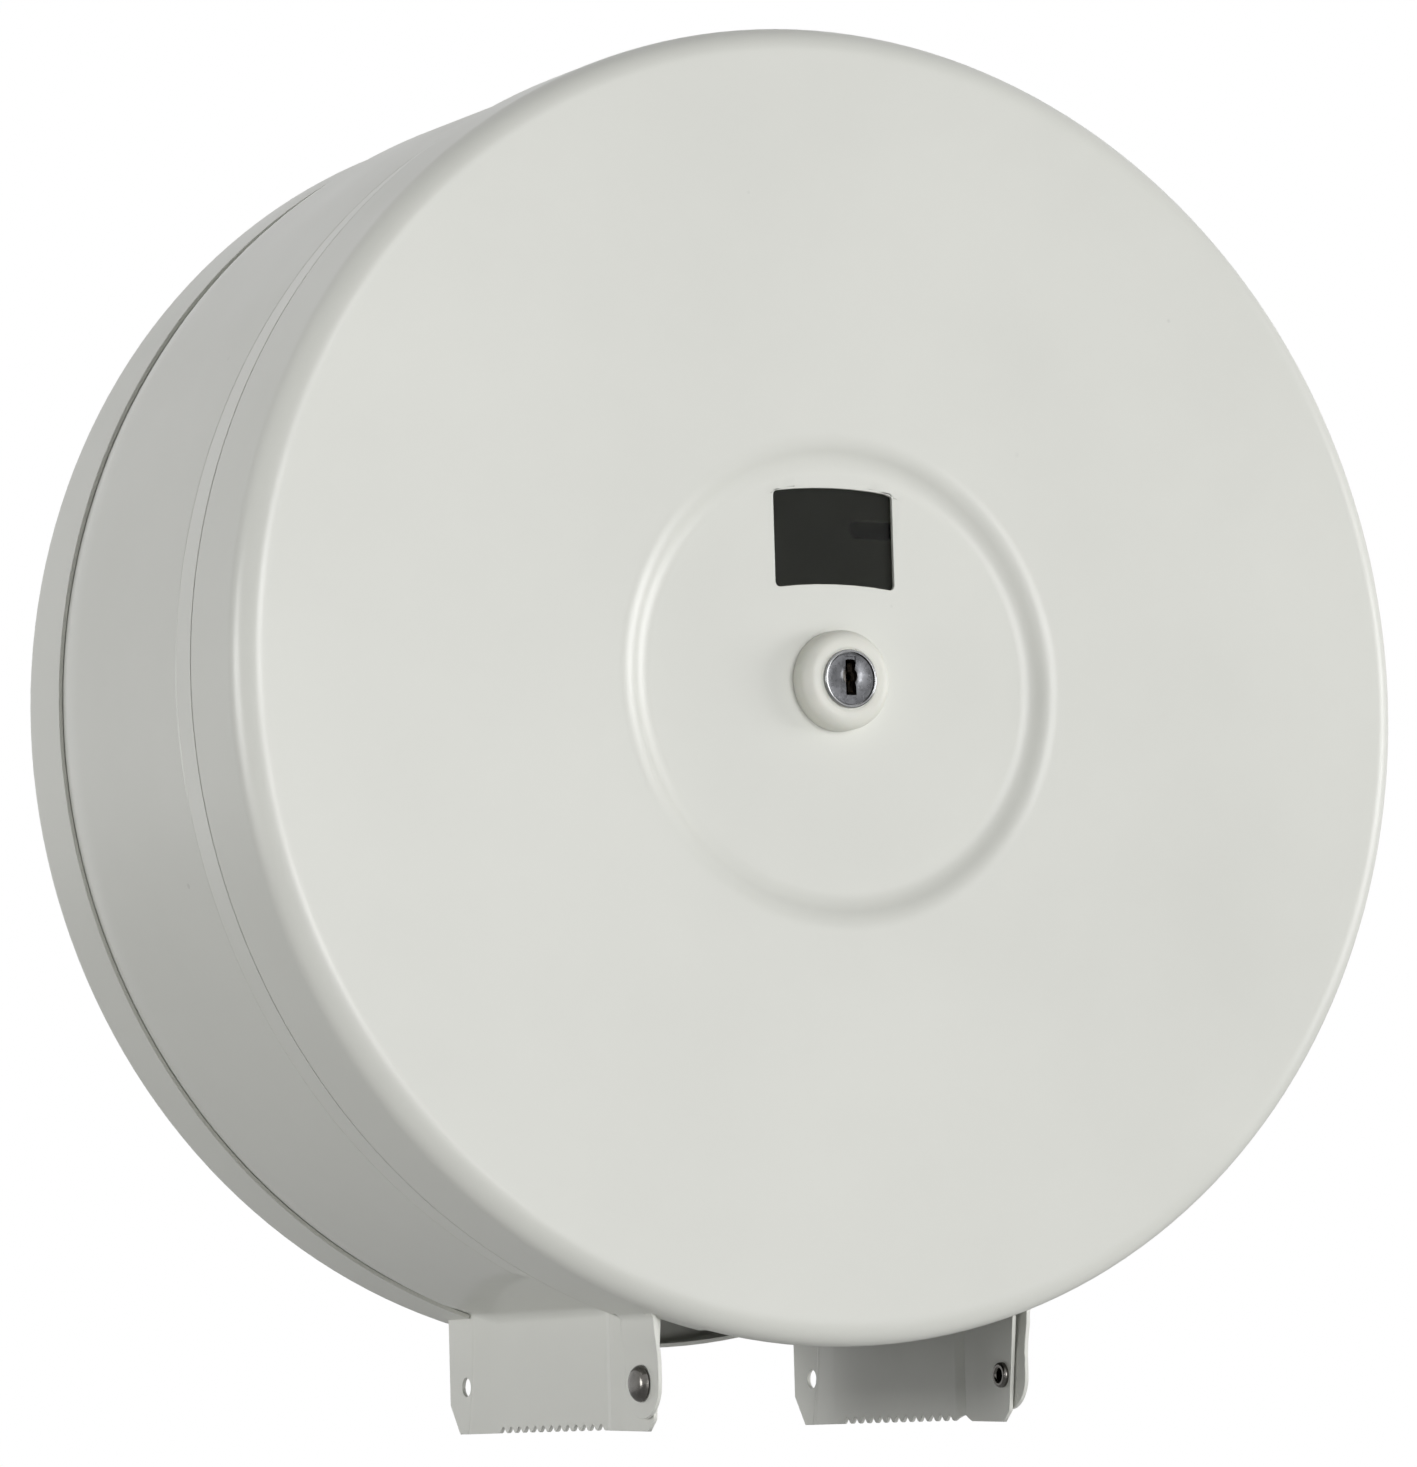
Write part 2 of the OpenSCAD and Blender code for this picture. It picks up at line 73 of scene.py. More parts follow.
# Side band and blades.
BAND_BACK = 4.0
SHOULDER_START = 19.7
SHOULDER_END = 33.0
CREASE_H = 89.5
FOLD_REAR = 20.8
FOLD_SLANT = 3.8
FOLD_FROM = 12.4
FOLD_TO = 31.0
FOLD_TOP_Z = -145.0
FOLD_FALL = 27.8
BEAD_H = 99.3
BAND_FRONT = 106.0
BEAD_FADE = 0.7
GROOVE = 0.22
BLADE_X = 47.45
BLADE_FRONT_FLARE = 0.55
BLADE_BACK = 7.4
BLADE_FRONT = 112.2
FRONT_SLANT = 2.8
FRONT_LEAN_Z = -170.8
FRONT_LEAN_RISE = 21.8
# How far the blade's outer face stands off BLADE_X along its length, as (h, distance).
BLADE_RELIEF = ((FOLD_REAR - 0.7, 0.8), (FOLD_REAR, 0.66), (FOLD_REAR + 0.5, 0.74), (29.0, 0.28),
                (87.4, 0.0), (88.4, -0.1), (89.2, 0.1), (91.6, 0.72), (97.3, 0.5),
                (BEAD_H, BLADE_FRONT_FLARE))
BLADE_LOW = -172.8
REAR_CHAMFER = (5.0, 7.1)
FRONT_CHAMFER = (3.0, 2.6)
TEETH = 13
TOOTH_FROM = 32.4
TOOTH_TO = 86.9
TOOTH_DEPTH = 1.5
TOOTH_SHAPE = ((0.0, 0.0), (0.13, 0.12), (0.37, 0.88), (0.5, 1.0), (0.63, 0.88), (0.87, 0.12))
NOTCH = ((0.0, 0.0), (0.12, 0.22), (0.3, 0.62), (0.44, 0.93), (0.52, 1.0), (0.62, 0.9), (0.8, 0.4),
         (1.0, 0.0))
NOTCH_LEN = 7.6
NOTCH_RISE = 1.45
FRONT_DROP = 0.55
CORNER_HOLE = (16.3, -161.5, 2.3)

# Front cover.
COVER_BACK = 100.0
EDGE_R = 6.0
LIP_H = 115.0
LIP_MID_H = 118.5
LIP_MID_X = 37.0
DISH_R = 59.0
DISH_FLOOR = 123.0
DISH_SLOPE = 9.7
DISH_BEND = 2.19
DISH_ARC = 8.5
WINDOW_W = 31.9
WINDOW_X = 0.3
WINDOW_LOW = 21.85
WINDOW_H = 22.7
WINDOW_BOW = 1.1
WINDOW_CORNER = 1.2
EAR_X = 49.4
EAR_STAND = 0.9
EAR_R = 8.2
EAR_BEND = 2.0
HINGE_H = 109.5
HINGE_Z = -162.3

# Lock.
LOCK_FACE = 130.0
BOSS_TOP = 129.2
BOSS_R = 11.8
PLUG_FACE = 129.7
KEYWAY_LIFT = 0.7
LOCK_HOLE_R = 6.1
STUD_X = 20.5
STUD_Z = 33.0

# Spindle.
TUBE_R = 17.0
HUB_R = 22.0
HUB_BORE = 17.06
FLANGE_R = 33.0
RIVET_RING = 28.0


def unit(t):
    """Value held between 0 and 1."""
    return min(1.0, max(0.0, t))


def smooth(t):
    """Soft step from 0 to 1."""
    t = unit(t)
    return t * t * (3 - 2 * t)


def ease_out(t):
    """Step from 0 to 1 that starts with a crisp fold and fades out."""
    return 1 - (1 - unit(t)) ** 2


def mix(a, b, t):
    return a + (b - a) * t


def between(value, points):
    """Value on a line through (position, value) points."""
    if value <= points[0][0]:
        return points[0][1]
    for (a, va), (b, vb) in zip(points, points[1:]):
        if value <= b:
            return mix(va, vb, (value - a) / (b - a))
    return points[-1][1]


def arc(cx, cy, r, a0, a1, steps):
    """Points on an arc, angles in degrees."""
    out = []
    for i in range(steps + 1):
        a = math.radians(mix(a0, a1, i / steps))
        out.append((cx + r * math.cos(a), cy + r * math.sin(a)))
    return out


def rounded(corners, steps=5, closed=False):
    """Outline through corners (x, y, radius), each corner rounded by its own radius."""
    out = []
    n = len(corners)
    for i, (x, y, r) in enumerate(corners):
        if r <= 0 or (not closed and i in (0, n - 1)):
            out.append((x, y))
            continue
        p = Vector((x, y))
        a = Vector(corners[i - 1][:2]) - p
        b = Vector(corners[(i + 1) % n][:2]) - p
        a.normalize()
        b.normalize()
        half = a.angle(b) / 2
        reach = r / math.tan(half)
        centre = p + (a + b).normalized() * (r / math.sin(half))
        start, end = p + a * reach - centre, p + b * reach - centre
        a0 = math.atan2(start.y, start.x)
        turn = (math.atan2(end.y, end.x) - a0 + math.pi) % TAU - math.pi
        for k in range(steps + 1):
            t = a0 + turn * k / steps
            out.append((centre.x + r * math.cos(t), centre.y + r * math.sin(t)))
    return out


def add_grid(bm, rows, keep=None, wrap=False, closed=False):
    """Quads between rows of (x, h, z) points, less the cells that keep(i, j) leaves out.

    With wrap a row joins its own start, with closed the last row joins the first.
    """
    made = [[bm.verts.new((x * MM, -h * MM, z * MM)) for x, h, z in row] for row in rows]
    for i in range(len(rows) if closed else len(rows) - 1):
        width = len(rows[i])
        after = made[(i + 1) % len(rows)]
        for j in range(width if wrap else width - 1):
            if keep and not keep(i, j):
                continue
            k = (j + 1) % width
            bm.faces.new((made[i][j], made[i][k], after[k], after[j]))


def grown(loop, by):
    """Loop of (x, z) points moved outward by a distance, along the mean of its sides' normals."""
    spin = sum(a[0] * b[1] - b[0] * a[1] for a, b in zip(loop, loop[1:] + loop[:1]))
    out = []
    for i, (x, z) in enumerate(loop):
        a, b = Vector(loop[i - 1]), Vector(loop[(i + 1) % len(loop)])
        along = (b - a).normalized() * (by if spin > 0 else -by)
        out.append((x + along.y, z - along.x))
    return out


def inside(loop, spot):
    """True where a point lies inside a loop of (x, z) points."""
    odd = False
    for (ax, az), (bx, bz) in zip(loop, loop[1:] + loop[:1]):
        if (az > spot[1]) != (bz > spot[1]) and spot[0] < ax + (bx - ax) * (spot[1] - az) / (bz - az):
            odd = not odd
    return odd


def add_plate(bm, outline, holes, h, margin=0.0):
    """Flat sheet at height h, from an outline and holes of (x, z) points.

    With a margin every hole gets a ring of even quads first, which keeps its rounded edge clean.
    """
    if margin:
        for loop in holes:
            ring_out = grown(loop, margin)
            add_grid(bm, [[(x, h, z) for x, z in loop], [(x, h, z) for x, z in ring_out]], wrap=True)
        holes = [grown(loop, margin) for loop in holes]
    points, sides = [], []
    for loop in [outline] + list(holes):
        first, n = len(points), len(loop)
        points += [Vector(p) for p in loop]
        sides += [(first + i, first + (i + 1) % n) for i in range(n)]
    spots, _, triangles, _, _, _ = delaunay_2d_cdt(points, sides, [], 0, 1e-4)
    verts = [bm.verts.new((x * MM, -h * MM, z * MM)) for x, z in spots]
    for t in triangles:
        middle = (spots[t[0]] + spots[t[1]] + spots[t[2]]) / 3
        if inside(outline, middle) and not any(inside(loop, middle) for loop in holes):
            bm.faces.new([verts[i] for i in t])


def turned_y(profile, angles, x=0.0, z=0.0):
    """Rows of a profile of (radius, h) turned about the drum's axis or one beside it."""
    return [[(x + r * math.sin(a), h, z - r * math.cos(a)) for a in angles] for r, h in profile]


def turned_x(profile, angles, h, z):
    """Rows of a profile of (radius, x) turned about a line along X."""
    return [[(x, h + r * math.cos(a), z + r * math.sin(a)) for a in angles] for r, x in profile]


def around(n):
    return [TAU * i / n for i in range(n)]


def ring(radius, n=48, x=0.0, z=0.0):
    """Circle of (x, z) points."""
    return [(x + radius * math.sin(a), z - radius * math.cos(a)) for a in around(n)]


def box_outline(half_x, half_z, radius, z=0.0):
    """Rectangle of (x, z) points with rounded corners."""
    corners = [(half_x, z - half_z, radius), (half_x, z + half_z, radius),
               (-half_x, z + half_z, radius), (-half_x, z - half_z, radius)]
    return rounded(corners, 4, True)


def add_block(bm, outline, holes, back, front):
    """Solid plate between two distances from the wall, with holes right through."""
    add_plate(bm, outline, holes, back)
    add_plate(bm, outline, holes, front)
    for loop in [outline] + list(holes):
        add_grid(bm, [[(x, back, z) for x, z in loop], [(x, front, z) for x, z in loop]], wrap=True)


def rod(name, radius, start, end, n=64):
    """A cutter along the line from start to end, both (x, h, z)."""
    a = Vector((start[0], -start[1], start[2])) * MM
    b = Vector((end[0], -end[1], end[2])) * MM
    bm = bmesh.new()
    bmesh.ops.create_cone(bm, cap_ends=True, segments=n, radius1=radius * MM,
                          radius2=radius * MM, depth=(b - a).length)
    turn = (b - a).to_track_quat("Z", "Y").to_matrix().to_4x4()
    bm.transform(Matrix.Translation((a + b) / 2) @ turn)
    return new_object(name, bm)


def new_object(name, bm):
    mesh = bpy.data.meshes.new(name)
    bm.to_mesh(mesh)
    bm.free()
    obj = bpy.data.objects.new(name, mesh)
    bpy.context.scene.collection.objects.link(obj)
    return obj


def tidy_faces(bm, middle):
    """Joins doubles and turns the faces of a sheet or solid away from its middle."""
    bmesh.ops.remove_doubles(bm, verts=bm.verts, dist=2e-6)
    bmesh.ops.dissolve_degenerate(bm, edges=bm.edges, dist=1e-7)
    bmesh.ops.recalc_face_normals(bm, faces=bm.faces)
    centre = Vector((middle[0], -middle[1], middle[2])) * MM
    total = sum(f.calc_area() * f.normal.dot(f.calc_center_median() - centre) for f in bm.faces)
    if total < 0:
        bmesh.ops.reverse_faces(bm, faces=bm.faces)


def mark_edges(mesh, sharp=0.7):
    """Stores 1 on the vertices of every sharp turn, for wear along edges."""
    angle = {}
    bm = bmesh.new()
    bm.from_mesh(mesh)
    for e in bm.edges:
        if len(e.link_faces) == 2 and e.calc_face_angle(0) > sharp:
            for v in e.verts:
                angle[v.index] = 1.0
    bm.free()
    layer = mesh.attributes.new("edge", "FLOAT", "POINT")
    for i, item in enumerate(layer.data):
        item.value = angle.get(i, 0.0)


def copies_group():
    """Node group that repeats a piece: each copy is moved by a step and turned about the axis."""
    tree = bpy.data.node_groups.new("copies", "GeometryNodeTree")
    face = tree.interface
    face.new_socket("Piece", in_out="INPUT", socket_type="NodeSocketGeometry")
    for name, kind in (("Count", "Int"), ("Step", "Vector"), ("Turn", "Float"), ("Finish", "Material")):
        face.new_socket(name, in_out="INPUT", socket_type="NodeSocket" + kind)
    face.new_socket("Copies", in_out="OUTPUT", socket_type="NodeSocketGeometry")

    def node(kind):
        return tree.nodes.new(kind)

    given, result = node("NodeGroupInput"), node("NodeGroupOutput")
    line, unit = node("GeometryNodeMeshLine"), node("GeometryNodeGeometryToInstance")
    place, index = node("GeometryNodeInstanceOnPoints"), node("GeometryNodeInputIndex")
    angle, axis = node("ShaderNodeMath"), node("ShaderNodeCombineXYZ")
    spin, real = node("GeometryNodeRotateInstances"), node("GeometryNodeRealizeInstances")
    coat = node("GeometryNodeSetMaterial")
    angle.operation = "MULTIPLY"
    spin.inputs["Local Space"].default_value = False
    links = ((given.outputs["Count"], line.inputs["Count"]),
             (given.outputs["Step"], line.inputs["Offset"]),
             (given.outputs["Piece"], unit.inputs[0]), (line.outputs[0], place.inputs["Points"]),
             (unit.outputs[0], place.inputs["Instance"]), (index.outputs[0], angle.inputs[0]),
             (given.outputs["Turn"], angle.inputs[1]), (angle.outputs[0], axis.inputs["Y"]),
             (place.outputs[0], spin.inputs["Instances"]), (axis.outputs[0], spin.inputs["Rotation"]),
             (spin.outputs[0], real.inputs[0]), (real.outputs[0], coat.inputs["Geometry"]),
             (given.outputs["Finish"], coat.inputs["Material"]), (coat.outputs[0], result.inputs[0]))
    for a, b in links:
        tree.links.new(a, b)
    return tree


COPIES = copies_group()


def add_copies(obj, material, count, step=(0, 0, 0), turn=0.0):
    """Repeats a piece; step is (x, h, z) in millimetres and turn is in degrees."""
    mod = obj.modifiers.new("copies", "NODES")
    mod.node_group = COPIES
    values = {"Count": count, "Step": (step[0] * MM, -step[1] * MM, step[2] * MM),
              "Turn": math.radians(turn), "Finish": material}
    for socket in COPIES.interface.items_tree:
        if socket.in_out == "INPUT" and socket.name in values:
            mod[socket.identifier] = values[socket.name]


def finish_piece(name, bm, body, material, stands_for=(), wall=0.0, cutters=(),
                 round_edges=0.0, middle=(0, 63, 0), creases=40, copies=None):
    """Turns a drawn shape into a finished piece on its body."""
    tidy_faces(bm, middle)
    obj = new_object(name, bm)
    if wall:
        mod = obj.modifiers.new("wall", "SOLIDIFY")
        mod.thickness = wall * MM
        mod.offset = -1
        mod.use_even_offset = True
    for cutter in cutters:
        mod = obj.modifiers.new("cut", "BOOLEAN")
        mod.object = cutter
        mod.operation = "DIFFERENCE"
        mod.solver = "EXACT"
    if round_edges:
        mod = obj.modifiers.new("round", "BEVEL")
        mod.width = round_edges * MM
        mod.segments = 2
        mod.limit_method = "ANGLE"
        mod.angle_limit = math.radians(50)
        mod.use_clamp_overlap = False
    obj.modifiers.new("even_shade", "WEIGHTED_NORMAL").keep_sharp = True
    for p in obj.data.polygons:
        p.use_smooth = True
    obj.data.set_sharp_from_angle(angle=math.radians(creases))
    if copies:
        add_copies(obj, material, **copies)
    depsgraph = bpy.context.evaluated_depsgraph_get()
    mesh = bpy.data.meshes.new_from_object(obj.evaluated_get(depsgraph), depsgraph=depsgraph)
    obj.modifiers.clear()
    obj.data = mesh
    mesh.name = name
    mark_edges(mesh)
    mesh.materials.clear()
    mesh.materials.append(material)
    for cutter in cutters:
        if cutter.name in bpy.data.objects:
            bpy.data.objects.remove(cutter)
    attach(obj, body)
    if stands_for:
        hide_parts(*stands_for)
    return obj


# ---- Materials ----


class Finish:
    """A node material with short calls for its parts."""

    def __init__(self, name):
        self.material = bpy.data.materials.new(name)
        self.material.use_nodes = True
        self.tree = self.material.node_tree
        self.tree.nodes.clear()
        self.shader = self.tree.nodes.new("ShaderNodeBsdfPrincipled")
        out = self.tree.nodes.new("ShaderNodeOutputMaterial")
        self.tree.links.new(self.shader.outputs[0], out.inputs[0])
        self.place = self.tree.nodes.new("ShaderNodeTexCoord").outputs["Object"]

    def put(self, **values):
        for name, value in values.items():
            socket = "IOR" if name == "ior" else name.replace("_", " ").title()
            self.shader.inputs[socket].default_value = value
        return self

    def link(self, a, b):
        self.tree.links.new(a, b)

    def node(self, kind, **settings):
        n = self.tree.nodes.new(kind)
        for key, value in settings.items():
            setattr(n, key, value)
        return n

    def noise(self, scale, detail=3.0, rough=0.5, stretch=None):
        n = self.node("ShaderNodeTexNoise")
        n.inputs["Scale"].default_value = scale
        n.inputs["Detail"].default_value = detail
        n.inputs["Roughness"].default_value = rough
        place = self.place
        if stretch:
            m = self.node("ShaderNodeMapping")
            m.inputs["Scale"].default_value = stretch
            self.link(place, m.inputs["Vector"])
            place = m.outputs["Vector"]
        self.link(place, n.inputs["Vector"])
        return n.outputs["Fac"]

    def cells(self, scale, low, high):
        """Small round spots: 1 inside a spot, 0 outside."""
        n = self.node("ShaderNodeTexVoronoi")
        n.inputs["Scale"].default_value = scale
        self.link(self.place, n.inputs["Vector"])
        return self.span(n.outputs["Distance"], low, high, 1.0, 0.0)

    def span(self, value, a, b, low=0.0, high=1.0):
        n = self.node("ShaderNodeMapRange")
        for i, v in enumerate((a, b, low, high)):
            n.inputs[i + 1].default_value = v
        self.link(value, n.inputs[0])
        return n.outputs[0]

    def times(self, a, b):
        n = self.node("ShaderNodeMath", operation="MULTIPLY")
        self.link(a, n.inputs[0])
        self.link(b, n.inputs[1])
        return n.outputs[0]

    def blend(self, fac, a, b):
        """Mix of two colours, each a tuple or an output."""
        n = self.node("ShaderNodeMix", data_type="RGBA")
        self.link(fac, n.inputs[0])
        for socket, c in ((n.inputs[6], a), (n.inputs[7], b)):
            if isinstance(c, tuple):
                socket.default_value = (*c, 1.0)
            else:
                self.link(c, socket)
        return n.outputs[2]

    def bump(self, height, strength, distance, under=None):
        n = self.node("ShaderNodeBump")
        n.inputs["Strength"].default_value = strength
        n.inputs["Distance"].default_value = distance
        self.link(height, n.inputs["Height"])
        if under:
            self.link(under, n.inputs["Normal"])
        return n.outputs[0]

    def edge(self):
        return self.node("ShaderNodeAttribute", attribute_name="edge").outputs["Fac"]

    def done(self, colour=None, roughness=None, normal=None):
        for name, value in (("Base Color", colour), ("Roughness", roughness), ("Normal", normal)):
            if value is not None:
                self.link(value, self.shader.inputs[name])
        return self.material


def powder_coat(name, base, rough=0.34):
    """Baked paint on steel: faint clouding, orange peel, a few dust specks and thin edges."""
    f = Finish(name)
    dark = tuple(c * 0.965 for c in base)
    light = tuple(min(1.0, c * 1.02) for c in base)
    clouds = f.noise(9.0, 4.0, 0.6)
    colour = f.blend(f.span(clouds, 0.3, 0.7), dark, light)
    specks = f.times(f.cells(75.0, 0.035, 0.06), f.span(f.noise(31.0, 1.0), 0.66, 0.70))
    colour = f.blend(f.span(specks, 0.0, 1.0, 0.0, 0.35), colour, tuple(c * 0.62 for c in base))
    worn = f.times(f.edge(), f.span(f.noise(160.0, 3.0), 0.35, 0.7))
    colour = f.blend(f.span(worn, 0.0, 1.0, 0.0, 0.5), colour, tuple(c * 0.86 for c in base))
    roughness = f.span(f.noise(26.0, 3.0), 0.3, 0.7, rough - 0.04, rough + 0.05)
    wave = f.bump(f.noise(70.0, 2.0), 0.05, 0.0006)
    peel = f.bump(f.noise(820.0, 2.0), 0.045, 0.0002, wave)
    return f.done(colour, roughness, peel)


def plastic(name, base, rough, grain, scatter=0.0):
    """Moulded plastic: slight mottling, fine grain and scuffed edges."""
    f = Finish(name)
    f.put(subsurface_weight=scatter)
    f.shader.inputs["Subsurface Radius"].default_value = (0.004, 0.003, 0.002)
    f.shader.inputs["Subsurface Scale"].default_value = 0.4
    colour = f.blend(f.span(f.noise(120.0, 4.0), 0.3, 0.7), tuple(c * 0.94 for c in base), base)
    scuffs = f.times(f.edge(), f.span(f.noise(900.0, 2.0), 0.4, 0.7))
    colour = f.blend(f.span(scuffs, 0.0, 1.0, 0.0, 0.4), colour, tuple(min(1, c * 1.25) for c in base))
    roughness = f.span(f.noise(300.0, 2.0), 0.3, 0.7, rough - 0.05, rough + 0.07)
    return f.done(colour, roughness, f.bump(f.noise(grain, 2.0), 0.08, 0.0002))


def metal(name, base, rough, stretch=(1, 1, 1), tarnish=0.75, scratches=0.05):
    """Plated or bare metal: tarnish clouds, fine drawn scratches and brighter edges."""
    f = Finish(name)
    f.put(metallic=1.0)
    clouds = f.noise(260.0, 5.0, 0.65)
    colour = f.blend(f.span(clouds, 0.35, 0.7), base, tuple(c * tarnish for c in base))
    bright = f.times(f.edge(), f.span(f.noise(700.0, 2.0), 0.3, 0.6))
    colour = f.blend(f.span(bright, 0, 1, 0, 0.5), colour, tuple(min(1, c * 1.3) for c in base))
    lines = f.noise(1500.0, 3.0, 0.7, stretch)
    roughness = f.span(f.noise(420.0, 4.0, 0.6), 0.3, 0.7, rough - 0.05, rough + 0.1)
    return f.done(colour, roughness, f.bump(lines, scratches, 0.0001))


def plug_metal(name, face, inside):
    """Dull tinted steel with handling marks; what lies inside the keyway is browner and darker."""
    f = Finish(name)
    f.put(metallic=1.0)
    clouds = f.noise(420.0, 6.0, 0.7)
    colour = f.blend(f.span(clouds, 0.35, 0.7), face, tuple(c * 0.62 for c in face))
    nicks = f.span(f.noise(1500.0, 3.0, 0.7, (1.0, 1.0, 0.25)), 0.62, 0.72)
    colour = f.blend(f.span(nicks, 0, 1, 0, 0.6), colour, tuple(c * 2.2 for c in face))
    split = f.node("ShaderNodeSeparateXYZ")
    f.link(f.place, split.inputs[0])
    deep = f.span(split.outputs["Y"], -0.1294, -0.1288)
    colour = f.blend(deep, colour, inside)
    roughness = f.span(f.noise(700.0, 4.0, 0.6), 0.3, 0.7, 0.2, 0.38)
    return f.done(colour, roughness, f.bump(clouds, 0.05, 0.0001))


PAINT = (0.742, 0.748, 0.700)
white_paint = powder_coat("white_powder_coat", PAINT)
zinc = metal("zinc_plated_steel", (0.60, 0.61, 0.63), 0.34)
nickel = metal("bright_nickel_plate", (0.52, 0.50, 0.47), 0.16, scratches=0.02)
rivet_nickel = metal("rivet_nickel", (0.17, 0.163, 0.152), 0.2, tarnish=0.6, scratches=0.03)
plug_steel = plug_metal("lock_plug_steel", (0.104, 0.106, 0.112), (0.085, 0.068, 0.05))
shutter_steel = metal("shutter_steel", (0.16, 0.15, 0.14), 0.4)
rim_chrome = metal("rim_chrome", (0.32, 0.325, 0.33), 0.14, scratches=0.02)
brass = metal("wafer_brass", (0.68, 0.50, 0.24), 0.3)
ivory = plastic("ivory_boss_plastic", (0.80, 0.80, 0.735), 0.42, 700.0, 0.08)
grey_hub = plastic("grey_hub_plastic", (0.16, 0.165, 0.17), 0.5, 900.0)


def smoked_pane():
    """Tinted acrylic with faint clouding and fine polishing marks."""
    f = Finish("smoked_acrylic")
    f.put(transmission_weight=1.0, ior=1.25)
    colour = f.blend(f.span(f.noise(45.0, 3.0), 0.3, 0.7), (0.50, 0.52, 0.45), (0.56, 0.58, 0.51))
    roughness = f.span(f.noise(200.0, 4.0), 0.35, 0.75, 0.02, 0.09)
    return f.done(colour, roughness, f.bump(f.noise(60.0, 2.0), 0.02, 0.0002))


smoke = smoked_pane()

# ---- Side band ----

# Edges of the pressed arch beside a blade, as (h, distance from the middle).
ARCH_OUT = ((33.0, 57.5), (48.5, 63.7), (59.7, 67.1), (72.3, 70.2), (81.8, 71.3), (89.5, 71.6))
ARCH_IN = ((33.0, 50.5), (48.5, 57.4), (66.3, 63.6), (75.5, 66.1), (83.0, 67.8), (89.5, 68.2))


def band_radius(h, x):
    """Radius of the band's outer face, recessed inside the pressed arch beside a blade."""
    if h <= SHOULDER_START:
        return REAR_NECK_R
    arch = (abs(x) - between(h, ARCH_IN)) / (between(h, ARCH_OUT) - between(h, ARCH_IN))
    panel = mix(RECESS_R, BAND_R, unit(arch))
    if h <= SHOULDER_END:
        return mix(REAR_NECK_R, panel, ease_out((h - SHOULDER_START) / (SHOULDER_END - SHOULDER_START)))
    if h <= CREASE_H:
        return panel
    if h <= BEAD_H:
        return mix(panel, BEAD_R, (h - CREASE_H) / (BEAD_H - CREASE_H))
    return mix(BEAD_R, FRONT_NECK_R, smooth((h - BEAD_H) / BEAD_FADE))


def blade_face(h):
    """Half width of the blade's outer face at row h: crisp folds set off a rear and a front strip."""
    return BLADE_X + between(h, BLADE_RELIEF)


def blade_bend(h):
    """Radius of the bend between band and blade at row h."""
    return between(h, ((0, 0.6), (20, 0.6), (33, 3.2), (84, 2.6), (96, 1.2), (100, 0.6), (130, 0.6)))


def blade_edge(h, notched):
    """Lower edge of a blade: chamfers, teeth and on the right blade a notch after the last tooth."""
    front_low = BLADE_LOW - FRONT_DROP
    if h < BLADE_BACK + REAR_CHAMFER[0]:
        return BLADE_LOW + REAR_CHAMFER[1] * (1 - (h - BLADE_BACK) / REAR_CHAMFER[0])
    if h > BLADE_FRONT - FRONT_CHAMFER[0]:
        return front_low + FRONT_CHAMFER[1] * (1 - (BLADE_FRONT - h) / FRONT_CHAMFER[0])
    if TOOTH_FROM <= h <= TOOTH_TO:
        phase = (h - TOOTH_FROM) / TOOTH_PITCH + 1e-4
        return BLADE_LOW + TOOTH_DEPTH * between(phase % 1.0, TOOTH_SHAPE + ((1.0, 0.0),))
    fall = FRONT_DROP * max(0.0, h - TOOTH_TO) / (BLADE_FRONT - FRONT_CHAMFER[0] - TOOTH_TO)
    rise = NOTCH_RISE * between((h - TOOTH_TO) / NOTCH_LEN, NOTCH) if notched else 0.0
    return BLADE_LOW - fall + rise


FRONT_RATIO = (BAND_FRONT - BEAD_H) / (BLADE_FRONT - BEAD_H)
TOOTH_PITCH = (TOOTH_TO - TOOTH_FROM) / TEETH
band_rows = [BAND_BACK, 4.3, 5.2, 6.4, 8.0, 10.0, FOLD_FROM, 14.5, 17.0, 18.6, 19.4, SHOULDER_START]
band_rows += [mix(SHOULDER_START, TOOTH_FROM, t / 12) for t in (0.5, 1, 2, 3, 4, 5, 6, 7, 8, 9, 10, 11)]
band_rows += [TOOTH_FROM + TOOTH_PITCH * (i + part) for i in range(TEETH) for part, _ in TOOTH_SHAPE]
band_rows += [TOOTH_TO + NOTCH_LEN * part for part, _ in NOTCH]
band_rows += [FOLD_REAR - 0.7, FOLD_REAR, FOLD_REAR + 0.5, 29.0, 87.4, 88.4, 91.6]
band_rows += [CREASE_H - 0.35, CREASE_H, CREASE_H + 0.35, 93.0, 95.9, 97.3, 98.6, BEAD_H]
band_rows += [BEAD_H + 0.25, BEAD_H + BEAD_FADE, 101.5, 103.0]
band_rows += [BEAD_H + (BLADE_FRONT - FRONT_CHAMFER[0] - BEAD_H) * FRONT_RATIO]
band_rows += [105.2, 105.7, BAND_FRONT]
band_rows = sorted(set(round(h, 3) for h in band_rows))

# Steps up the blade from its edge to the bend, and the steps round the bend.
BLADE_STEPS = (0.0, 0.035, 0.12, 0.3, 0.5, 0.7, 0.84, 0.9, 0.96, 1.0)
BEND_STEPS = 7


def blade_h(h):
    """Where a band row lies on the blade, whose front and rear edges differ from the band's."""
    if h < BLADE_BACK + REAR_CHAMFER[0]:
        top = BLADE_BACK + REAR_CHAMFER[0]
        return top - (top - h) * REAR_CHAMFER[0] / (top - BAND_BACK)
    if h > BEAD_H:
        return BEAD_H + (h - BEAD_H) / FRONT_RATIO
    return h


